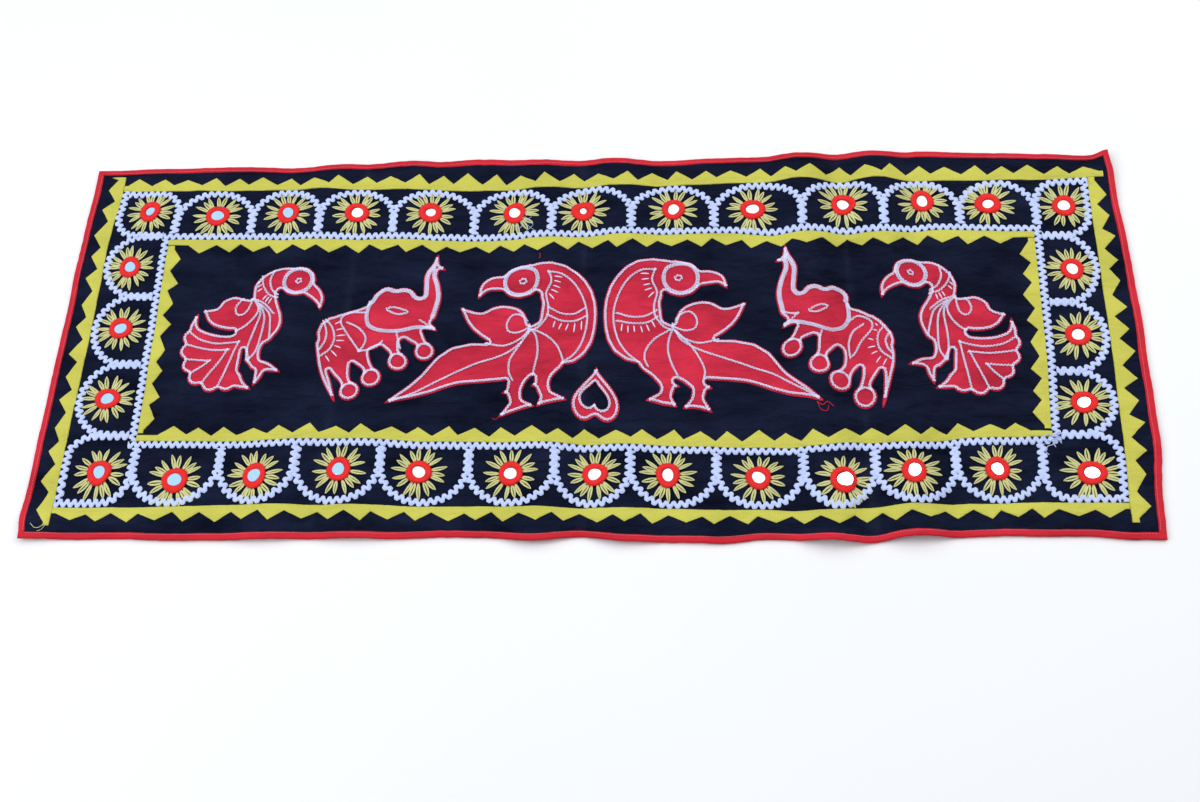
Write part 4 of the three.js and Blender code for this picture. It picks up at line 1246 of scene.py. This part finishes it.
def cut_line(outline):
    """A cutter's smooth line round an outline that keeps its sharp corners."""
    points = [point for point, _ in evenly(outline, CUT["step"], loop=True)]
    count = len(points)
    bends = []
    for k in range(count):
        into = points[k] - points[k - 2]
        out = points[(k + 2) % count] - points[k]
        # A clockwise turn is a nick into the cloth, and is kept sooner than a point of it.
        turn = into.angle_signed(out, 0)
        bends.append(turn / CUT["nick"] if turn > 0 else -turn / CUT["point"])
    held = {k for k in range(count) if bends[k] > 1 and bends[k] >= max(bends[k - 1], bends[(k + 1) % count])}
    return smoothed(points, CUT["rounds"], held)


def inset_rows(stations, inset, tree, loop=True):
    """Lines so far inside a cut edge, as (line, loop), broken where the cloth is too narrow for them."""
    line = [point + inset * left_of(way) for point, way in stations]
    clear = [tree.find((*point, 0))[2] > OUTLINE_ROW["clear"] * inset for point in line]
    rounds = OUTLINE_ROW["rounds"]
    if all(clear):
        return [(smoothed(line, rounds, loop=loop), loop)]
    first = clear.index(False)
    rows = []
    run = []
    for k in range(first, first + len(line) + 1):
        at = k % len(line)
        if run and (not clear[at] or at == 0 and not loop):
            if len(run) >= OUTLINE_ROW["fewest_points"]:
                rows.append((smoothed(run, rounds, loop=False), False))
            run = []
        if clear[at]:
            run.append(line[at])
    return rows


def ankle_rows(figure):
    """Short rows that all but close the ring of stitch round each foot."""
    rows = []
    for foot in figure.get("feet", ()):
        for way in (-1, 1):
            turns = [math.radians(foot["ankle"] + way * spread) for spread in FOOT_RING["spread"]]
            ring = [FOOT_RING["radius"] * Vector((math.cos(turn), math.sin(turn))) for turn in turns]
            rows.append(([on_figure(figure, foot["x"] + at.x, foot["y"] + at.y) for at in ring], False))
    return rows


def echo_rows(figure, edge, inset, tree):
    """Second rows of stitch along stretches of the edge."""
    rows = []
    for echo in figure.get("echoes", ()):
        ends = [on_figure(figure, *echo[end]) for end in ("first", "last")]
        stations = evenly(edge, CUT["step"], loop=True)
        low, high = (
            min(range(len(stations)), key=lambda k: (stations[k][0] - end).length)
            for end in ends[::figure["flip"]]
        )
        run = stations[low:high] if low < high else stations[low:] + stations[:high]
        rows += inset_rows(run, inset + OUTLINE_ROW["echo"], tree, loop=False)
    return rows


def stitch_rows(figure):
    """A shape's cut edges, and every line of chain stitch on it as (line, loop, stitch width) in plan."""
    inset = sizes().chain_inset / MM
    outlines = [cut_line(outline) for outline in top_outlines(figure["node"])]
    tree = finder([point for outline in outlines for point in outline])
    rows = []
    for outline in outlines:
        stations = evenly(outline, CUT["step"], loop=True)
        rows += inset_rows(stations, inset if outline is outlines[0] else OUTLINE_ROW["hole"] * inset, tree)
    rows += ankle_rows(figure) + echo_rows(figure, outlines[0], inset, tree)
    rows = [(*row, CHAIN["edge_width"]) for row in rows]
    for line in figure["lines"]:
        points = [on_figure(figure, *point) for point in zip(line["x"], line["y"])]
        loop = line.get("loop", False)
        curve = curve_through(points, loop)
        rows.append((curve, loop, CHAIN["inner_width"]))
        if "pair" in line:
            apart = figure["flip"] * line["pair"]
            beside = [point + apart * left_of(way) for point, way in evenly(curve, ROW_STEP, loop)]
            rows.append((beside, loop, CHAIN["inner_width"]))
    return outlines, rows


def inside(point, outlines):
    """Whether a plan point lies on the cloth within these edges."""
    crossings = 0
    for outline in outlines:
        for k in range(len(outline)):
            a, b = outline[k - 1], outline[k]
            if (a.y > point.y) != (b.y > point.y):
                crossings += point.x < a.x + (b.x - a.x) * (point.y - a.y) / (b.y - a.y)
    return crossings % 2 == 1


def patch_height(x, y, away):
    """Height of a red shape's face, sunk under stitches that are so far away and puffed between them."""
    up = PATCH["up"] - PATCH["sunk"] * math.exp(-(away / PATCH["sunk_reach"]) ** 2)
    up += PATCH["puff"] * (1 - math.exp(-(away / PATCH["puff_reach"]) ** 2))
    return up + sum(row["high"] * ruffle(x, y, row["waves"], row["seed"]) for row in PATCH_WRINKLES)


def sew_figure(figure):
    """One red shape, cut along its solid's outline and puckered by its stitches."""
    outlines, rows = stitch_rows(figure)
    tree = finder([point for line, loop, _ in rows for point, _ in evenly(line, ROW_STEP, loop)])
    bm = bmesh.new()
    for outline in outlines:
        verts = [bm.verts.new((*point, 0)) for point in outline]
        for k in range(len(verts)):
            bm.edges.new((verts[k - 1], verts[k]))
    bmesh.ops.triangle_fill(bm, use_beauty=True, use_dissolve=False, edges=bm.edges[:], normal=(0, 0, 1))
    flat_area = sum(face.calc_area() for face in bm.faces)
    low = [min(vert.co[axis] for vert in bm.verts) for axis in (0, 1)]
    high = [max(vert.co[axis] for vert in bm.verts) for axis in (0, 1)]
    for axis, normal in enumerate((Vector((1, 0, 0)), Vector((0, 1, 0)))):
        for k in range(1, int((high[axis] - low[axis]) / PATCH["cell"]) + 1):
            cut = normal * (low[axis] + k * PATCH["cell"])
            everything = bm.verts[:] + bm.edges[:] + bm.faces[:]
            bmesh.ops.bisect_plane(bm, geom=everything, dist=1e-4, plane_co=cut, plane_no=normal)
    bmesh.ops.inset_region(
        bm, faces=bm.faces[:], thickness=PATCH["rim"], use_boundary=True, use_even_offset=True,
    )
    for vert in bm.verts:
        x, y = vert.co.x, vert.co.y
        up = PATCH["edge_up"] if vert.is_boundary else patch_height(x, y, tree.find((x, y, 0))[2])
        vert.co = place(x, y, up)
    backed(bm, PATCH["thick"])
    piece = piece_of(bm, f"{figure['node']}_patch", red_poplin(), "red_cotton", [figure["node"]])
    return piece


def chain_link():
    """One loop of chain stitch, of unit length, width and height, wider at its back than at its front."""
    rings = []
    for k in range(LINK["steps"]):
        angle = 2 * math.pi * k / LINK["steps"]
        out = Vector((math.cos(angle), math.sin(angle), 0))
        belly = LINK["half_wide"] * (LINK["even"] - LINK["taper"] * out.x)
        middle = Vector((LINK["half_long"] * out.x, belly * out.y, 0))
        rings.append([
            middle + out * LINK["strand"] * math.cos(turn) + Vector((0, 0, 0.5 * math.sin(turn)))
            for turn in (math.pi / 4 + math.pi / 2 * n for n in range(4))
        ])
    return tube(rings, LINK["yarn"] / LINK["steps"], closed=True)


def straight_stitch():
    """One straight stitch, of unit length, width and height, that dips in at both ends."""
    rings = []
    for row in STITCH_SECTION:
        sunk = STITCH["dip"] * (math.cos(math.pi * row["along"]) - 1)
        half = row["thick"] / 2
        rings.append([
            Vector((row["along"], half * math.cos(turn), sunk + half * math.sin(turn)))
            for turn in (2 * math.pi * n / STITCH["corners"] for n in range(STITCH["corners"]))
        ])
    return tube(rings, STITCH["yarn_step"])


def sew_chain(figure):
    """The white chain stitch and straight stitches on one red shape."""
    outlines, rows = stitch_rows(figure)
    long, width = sizes().chain_length, sizes().chain_width
    bm = bmesh.new()
    link, tick = chain_link(), straight_stitch()
    for line, loop, wide in rows:
        for k, (point, way) in enumerate(evenly(line, long / MM, loop)):
            if not inside(point, outlines):
                continue
            # Each link slants across the line, as a hand pulls it.
            swayed = Matrix.Rotation(CHAIN["sway"] + CHAIN["sway_wander"] * uneven(k, 3), 2) @ way
            wander = 1 + CHAIN["width_wander"] * uneven(k, 5)
            size = (CHAIN["overlap"] * long, width * wide * wander, CHAIN["thick"] * MM)
            stamped(bm, link, lain(point, swayed, CHAIN["up"], size))
    for row in figure["ticks"]:
        ends = [on_figure(figure, *point) for point in zip(row["x"], row["y"])]
        run = ends[1] - ends[0]
        size = (run.length * MM, TICK["wide"] * MM, TICK["thick"] * MM)
        stamped(bm, tick, lain(ends[0].lerp(ends[1], 0.5), run.normalized(), TICK["up"], size))
    link.free()
    tick.free()
    return piece_of(bm, f"{figure['node']}_chain_stitch", chain_cotton(), "white_braid", sharp=180)


def sew_machine_line(side):
    """A row of machine stitches that holds the binding."""
    bm = bmesh.new()
    stitch = straight_stitch()
    half = side["after"]["edge"] - MACHINE["from_corner"]
    pitch = sizes().machine_pitch
    size = (MACHINE["shown"] * pitch, MACHINE["thick"] * MM, MACHINE["thick"] * MM)
    line = [on_side(side, s, side["edge"] - MACHINE["inset"]) for s in (-half, 0, half)]
    for k, (point, way) in enumerate(evenly(line, pitch / MM)):
        waver = MACHINE["waver"] * ruffle(k, side["turn"], (MACHINE["waver_stitches"], 1), 0)
        stamped(bm, stitch, lain(point + left_of(way) * waver, way, MACHINE["up"], size))
    stitch.free()
    return piece_of(bm, f"binding_stitches_{side['name']}", sewing_thread(), "red_binding", sharp=180)


# Mirror work

def out_of_round(rows, angle, number):
    """How far a round that is cut or wound by hand strays at an angle, as a share of its radius."""
    return sum(row["far"] * math.sin(row["lobes"] * angle + row["shift"] * number) for row in rows)


def mirror_places():
    """Middles of the mirrors in plan."""
    places = []
    for name in MIRRORS:
        low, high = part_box(name)
        middle = (low + high) / 2 / MM
        places.append(Vector((middle.x, middle.y)))
    return places


def set_mirrors():
    """Hand-cut round mirrors, each tilted a little its own way."""
    bm = bmesh.new()
    for k, point in enumerate(mirror_places()):
        disc = bmesh.new()
        bmesh.ops.create_cone(
            disc, cap_ends=True, segments=MIRROR["corners"], radius1=1, radius2=1, depth=1,
        )
        for vert in disc.verts:
            out = 1 + out_of_round(MIRROR_CUT, math.atan2(vert.co.y, vert.co.x), k)
            vert.co.x *= out
            vert.co.y *= out
        rim = [
            e for e in disc.edges
            if len(e.link_faces) == 2 and abs(e.verts[0].co.z - e.verts[1].co.z) < 0.1
        ]
        bmesh.ops.bevel(
            disc, geom=rim, offset=MIRROR["bevel"], offset_type="OFFSET", segments=2, profile=0.5,
            affect="EDGES", material=-1,
        )
        lean = Matrix.Rotation(MIRROR["lean"] * uneven(k, 6), 4, "X")
        lean = lean @ Matrix.Rotation(MIRROR["lean"] * uneven(k, 7), 4, "Y")
        laid = lain(point, Vector((1, 0)), MIRROR["up"], (1, 1, 1))
        # The thread holds a mirror flatter than the cloth beside a fold.
        slope = laid.col[2].to_3d()
        flatter = slope.rotation_difference(slope + Vector((0, 0, 1))).to_matrix().to_4x4()
        laid = Matrix.Translation(laid.translation) @ flatter @ laid.to_3x3().to_4x4()
        size = Vector((MIRROR["radius"], MIRROR["radius"], MIRROR["thick"])) * MM
        bmesh.ops.transform(disc, matrix=laid @ lean @ Matrix.Diagonal((*size, 1)), verts=disc.verts)
        bmesh.ops.recalc_face_normals(disc, faces=disc.faces)
        joined(bm, disc)
    return piece_of(bm, "mirrors", silvered_glass(), "mirror_glass", MIRRORS, sharp=25)


def wind_rings():
    """Red yarn wound round each mirror's rim, over and under, so that the turns stand as ridges."""
    bm = bmesh.new()
    inner, outer = sizes().ring_inner / MM, sizes().ring_outer / MM
    for k, point in enumerate(mirror_places()):
        rings = []
        squash = 1 + RING["squash"] * uneven(k, 8)
        for step in range(RING["steps"]):
            angle = 2 * math.pi * step / RING["steps"]
            ridge = 1 + RING["ridge"] * (1 if step % 2 else -1)
            near = inner * COVERED.get(k + 1, 1) * (1 + out_of_round(RING_INSIDE, angle, k))
            far = outer * (1 + out_of_round(RING_OUTSIDE, angle, k))
            out = Vector((math.cos(angle) * squash, math.sin(angle) / squash))
            rings.append(strand_ring(
                point + out * (near + far) / 2, out, RING["up"],
                (far - near) / 2 * ridge, RING["half_high"] * ridge, RING["corners"], RING["turned"],
            ))
        joined(bm, tube(rings, RING["yarn_step"], closed=True))
    return piece_of(bm, "mirror_rings", ring_yarn(), "red_cotton", sharp=180)


def petal_loop(point, angle, salt):
    """One lazy daisy loop that starts under a ring of yarn and points out along an angle."""
    inner = sizes().ring_outer / MM - PETAL["tucked"]
    yarn = PETAL["yarn"]
    out = Vector((math.cos(angle), math.sin(angle)))
    across = left_of(out)
    tip = sizes().petal_reach / MM * (1 + PETAL["reach_wander"] * uneven(salt, 11)) - yarn / 2
    swing = PETAL["swing"] * uneven(salt, 12)
    bend = PETAL["bend"] * uneven(salt, 14)
    half = (sizes().petal_width / MM / 2 - yarn) * (1 + PETAL["width_wander"] * uneven(salt, 13))
    rings = []
    for step in range(PETAL["steps"]):
        t = 2 * math.pi * step / PETAL["steps"]
        share = (1 - math.cos(t)) / 2
        belly = 4 * share * (1 - share)
        bulge = math.copysign(belly ** PETAL["fullness"], math.sin(t))
        middle = point + out * (inner + (tip - inner) * share)
        middle += across * (half * bulge + swing * share + bend * belly)
        side = (across * math.sin(t) - out * math.cos(t)).normalized()
        strand = yarn * (1 - PETAL["tip_thinner"] * share ** 4)
        up = PETAL["up"] + PETAL["tip_rise"] * share
        rings.append(strand_ring(
            middle, side, up, strand, PETAL["half_high"], PETAL["corners"], PETAL["turned"],
        ))
    return tube(rings, PETAL["yarn_step"], closed=True)


def stitch_petals():
    """Lazy daisy loops of yellow green cotton, uneven in length and turn, round each mirror."""
    bm = bmesh.new()
    for k, point in enumerate(mirror_places()):
        petals = PETAL["count"] + round(uneven(k, 9))
        for petal in range(petals):
            salt = PETAL["salts"] * k + petal
            share = (petal + PETAL["turn_wander"] * uneven(salt, 10)) / petals
            joined(bm, petal_loop(point, 2 * math.pi * share + k, salt))
    return piece_of(bm, "mirror_petals", petal_cotton(), "yellow_cotton", sharp=180)


def leave_loose_ends():
    """A few ends of thread that were never trimmed."""
    threads = (
        ("white", braid_cotton(), "white_braid"),
        ("red", ring_yarn(), "red_cotton"),
        ("yellow", petal_cotton(), "yellow_cotton"),
    )
    made = []
    for colour, material, slot in threads:
        bm = bmesh.new()
        for k, row in enumerate(LOOSE_ENDS):
            if row["colour"] != colour:
                continue
            line = curve_through([Vector(point) for point in zip(row["x"], row["y"])])
            half = row["thick"] / 2
            rings = []
            for n, (point, way) in enumerate(evenly(line, LOOSE["step"])):
                up = LOOSE["up"] + LOOSE["wave"] * math.sin(n / LOOSE["wave_steps"] + k)
                rings.append(strand_ring(point, left_of(way), up, half, half, LOOSE["corners"]))
            joined(bm, tube(rings, LOOSE["step"] * MM))
        made.append(piece_of(bm, f"loose_{colour}_ends", material, slot, sharp=180))
    return made


# Floor, lights and camera

def aimed(row):
    """Turn that points a lamp or a camera from its place to what it looks at."""
    return (Vector(row["to"]) - Vector(row["at"])).to_track_quat("-Z", "Y")


def lay_floor(scene):
    """Lay a pale floor under the cloth."""
    bm = bmesh.new()
    bmesh.ops.create_grid(bm, x_segments=8, y_segments=8, size=FLOOR_HALF)
    mesh = bpy.data.meshes.new("floor")
    bm.to_mesh(mesh)
    bm.free()
    mesh.materials.append(painted_floor())
    floor = bpy.data.objects.new("floor", mesh)
    scene.collection.objects.link(floor)


def hang_lights(scene):
    """Light it from two sides and two panels, and fill the room softly."""
    for row in LIGHTS:
        light = bpy.data.lights.new(row["name"], "AREA")
        light.shape = "RECTANGLE"
        light.size = row["wide"] * MM
        light.size_y = row["tall"] * MM
        light.energy = row["watts"]
        light.color = srgb(row["colour"])
        lamp = bpy.data.objects.new(row["name"], light)
        lamp.location = Vector(row["at"]) * MM
        lamp.rotation_euler = aimed(row).to_euler()
        scene.collection.objects.link(lamp)
    world = bpy.data.worlds.new("soft_room")
    world.use_nodes = True
    tree = world.node_tree
    tree.nodes.clear()
    air = {"Color": (*srgb(ROOM["colour"]), 1), "Strength": ROOM["strength"]}
    sky = add(tree, "ShaderNodeBackground", air)
    add(tree, "ShaderNodeOutputWorld", {"Surface": sky.outputs[0]})
    scene.world = world


def set_camera(scene):
    """Set the camera where the photo was taken."""
    camera = bpy.data.objects.new("camera", bpy.data.cameras.new("camera"))
    camera.data.sensor_width = CAMERA["sensor"]
    camera.data.lens = CAMERA["lens"]
    camera.location = Vector(CAMERA["at"]) * MM
    camera.rotation_mode = "QUATERNION"
    camera.rotation_quaternion = aimed(CAMERA) @ Quaternion((0, 0, 1), math.radians(CAMERA["roll"]))
    scene.collection.objects.link(camera)
    scene.camera = camera


class TAPESTRY_OT_stage(bpy.types.Operator):
    """Lay the floor and set the lights and the camera"""
    bl_idname = "tapestry.stage"
    bl_label = "Stage"

    def execute(self, context):
        lay_floor(context.scene)
        hang_lights(context.scene)
        set_camera(context.scene)
        context.scene.view_settings.view_transform = "Standard"
        return {"FINISHED"}


class TAPESTRY_OT_ground(bpy.types.Operator):
    """Lay the black ground cloth in its folds"""
    bl_idname = "tapestry.ground"
    bl_label = "Ground cloth"

    def execute(self, context):
        sew_ground()
        return {"FINISHED"}


class TAPESTRY_OT_binding(bpy.types.Operator):
    """Fold the red binding round the four edges and stitch it down"""
    bl_idname = "tapestry.binding"
    bl_label = "Binding"

    def execute(self, context):
        for side in SIDES:
            sew_binding(side)
            sew_machine_line(side)
        return {"FINISHED"}


class TAPESTRY_OT_sawteeth(bpy.types.Operator):
    """Cut and lay the eight yellow sawtooth strips"""
    bl_idname = "tapestry.sawteeth"
    bl_label = "Sawtooth strips"

    def execute(self, context):
        for k, side in enumerate(SIDES):
            plain, flare = TOOTH["end"], side.get("flare", 0)
            sew_strip(side, "outer_sawtooth", side["outer"], side["outer_ends"], plain, 1, k, flare)
            clear = 2 * (TOOTH["band"] + TOOTH["end"]) if side["long"] else plain
            sew_strip(side, "inner_sawtooth", side["inner"], side["inner_ends"], clear, -1, k + 4)
        return {"FINISHED"}


class TAPESTRY_OT_braid(bpy.types.Operator):
    """Lay the white zigzag braid in arches and along their feet"""
    bl_idname = "tapestry.braid"
    bl_label = "Zigzag braid"

    def execute(self, context):
        for k, side in enumerate(SIDES):
            sew_rail(side, k)
            sew_scallops(side, k)
        return {"FINISHED"}


class TAPESTRY_OT_figures(bpy.types.Operator):
    """Cut the red animals and the heart and lay them on the ground"""
    bl_idname = "tapestry.figures"
    bl_label = "Cut shapes"

    def execute(self, context):
        for figure in FIGURES:
            sew_figure(figure)
        return {"FINISHED"}


class TAPESTRY_OT_chain(bpy.types.Operator):
    """Work the white chain stitch on the red shapes"""
    bl_idname = "tapestry.chain"
    bl_label = "Chain stitch"

    def execute(self, context):
        for figure in FIGURES:
            sew_chain(figure)
        return {"FINISHED"}


class TAPESTRY_OT_mirrors(bpy.types.Operator):
    """Set the mirrors in their thread rings, with petals round them"""
    bl_idname = "tapestry.mirrors"
    bl_label = "Mirror work"

    def execute(self, context):
        set_mirrors()
        wind_rings()
        stitch_petals()
        return {"FINISHED"}


class TAPESTRY_OT_loose_ends(bpy.types.Operator):
    """Leave a few loose thread ends"""
    bl_idname = "tapestry.loose_ends"
    bl_label = "Loose ends"

    def execute(self, context):
        leave_loose_ends()
        return {"FINISHED"}


OPERATORS = (
    TAPESTRY_OT_stage, TAPESTRY_OT_ground, TAPESTRY_OT_binding, TAPESTRY_OT_sawteeth, TAPESTRY_OT_braid,
    TAPESTRY_OT_figures, TAPESTRY_OT_chain, TAPESTRY_OT_mirrors, TAPESTRY_OT_loose_ends,
)


class TAPESTRY_PT_panel(bpy.types.Panel):
    """The tapestry's pieces, sizes and colours"""
    bl_idname = "TAPESTRY_PT_panel"
    bl_label = "Tapestry"
    bl_space_type = "VIEW_3D"
    bl_region_type = "UI"
    bl_category = "Tapestry"

    def draw(self, context):
        for operator in OPERATORS:
            self.layout.operator(operator.bl_idname)
        for group in (context.scene.tapestry_sizes, context.scene.tapestry_colours):
            box = self.layout.box()
            for name in group.__annotations__:
                box.prop(group, name)


CLASSES = (TapestrySizes, TapestryColours, *OPERATORS, TAPESTRY_PT_panel)


def register():
    for cls in CLASSES:
        bpy.utils.register_class(cls)
    bpy.types.Scene.tapestry_sizes = bpy.props.PointerProperty(type=TapestrySizes)
    bpy.types.Scene.tapestry_colours = bpy.props.PointerProperty(type=TapestryColours)


def unregister():
    del bpy.types.Scene.tapestry_sizes
    del bpy.types.Scene.tapestry_colours
    for cls in reversed(CLASSES):
        bpy.utils.unregister_class(cls)


def main():
    register()
    bpy.ops.tapestry.stage()
    bpy.ops.tapestry.ground()
    bpy.ops.tapestry.binding()
    bpy.ops.tapestry.sawteeth()
    bpy.ops.tapestry.braid()
    bpy.ops.tapestry.figures()
    bpy.ops.tapestry.chain()
    bpy.ops.tapestry.mirrors()
    bpy.ops.tapestry.loose_ends()


if __name__ == "__main__":
    main()
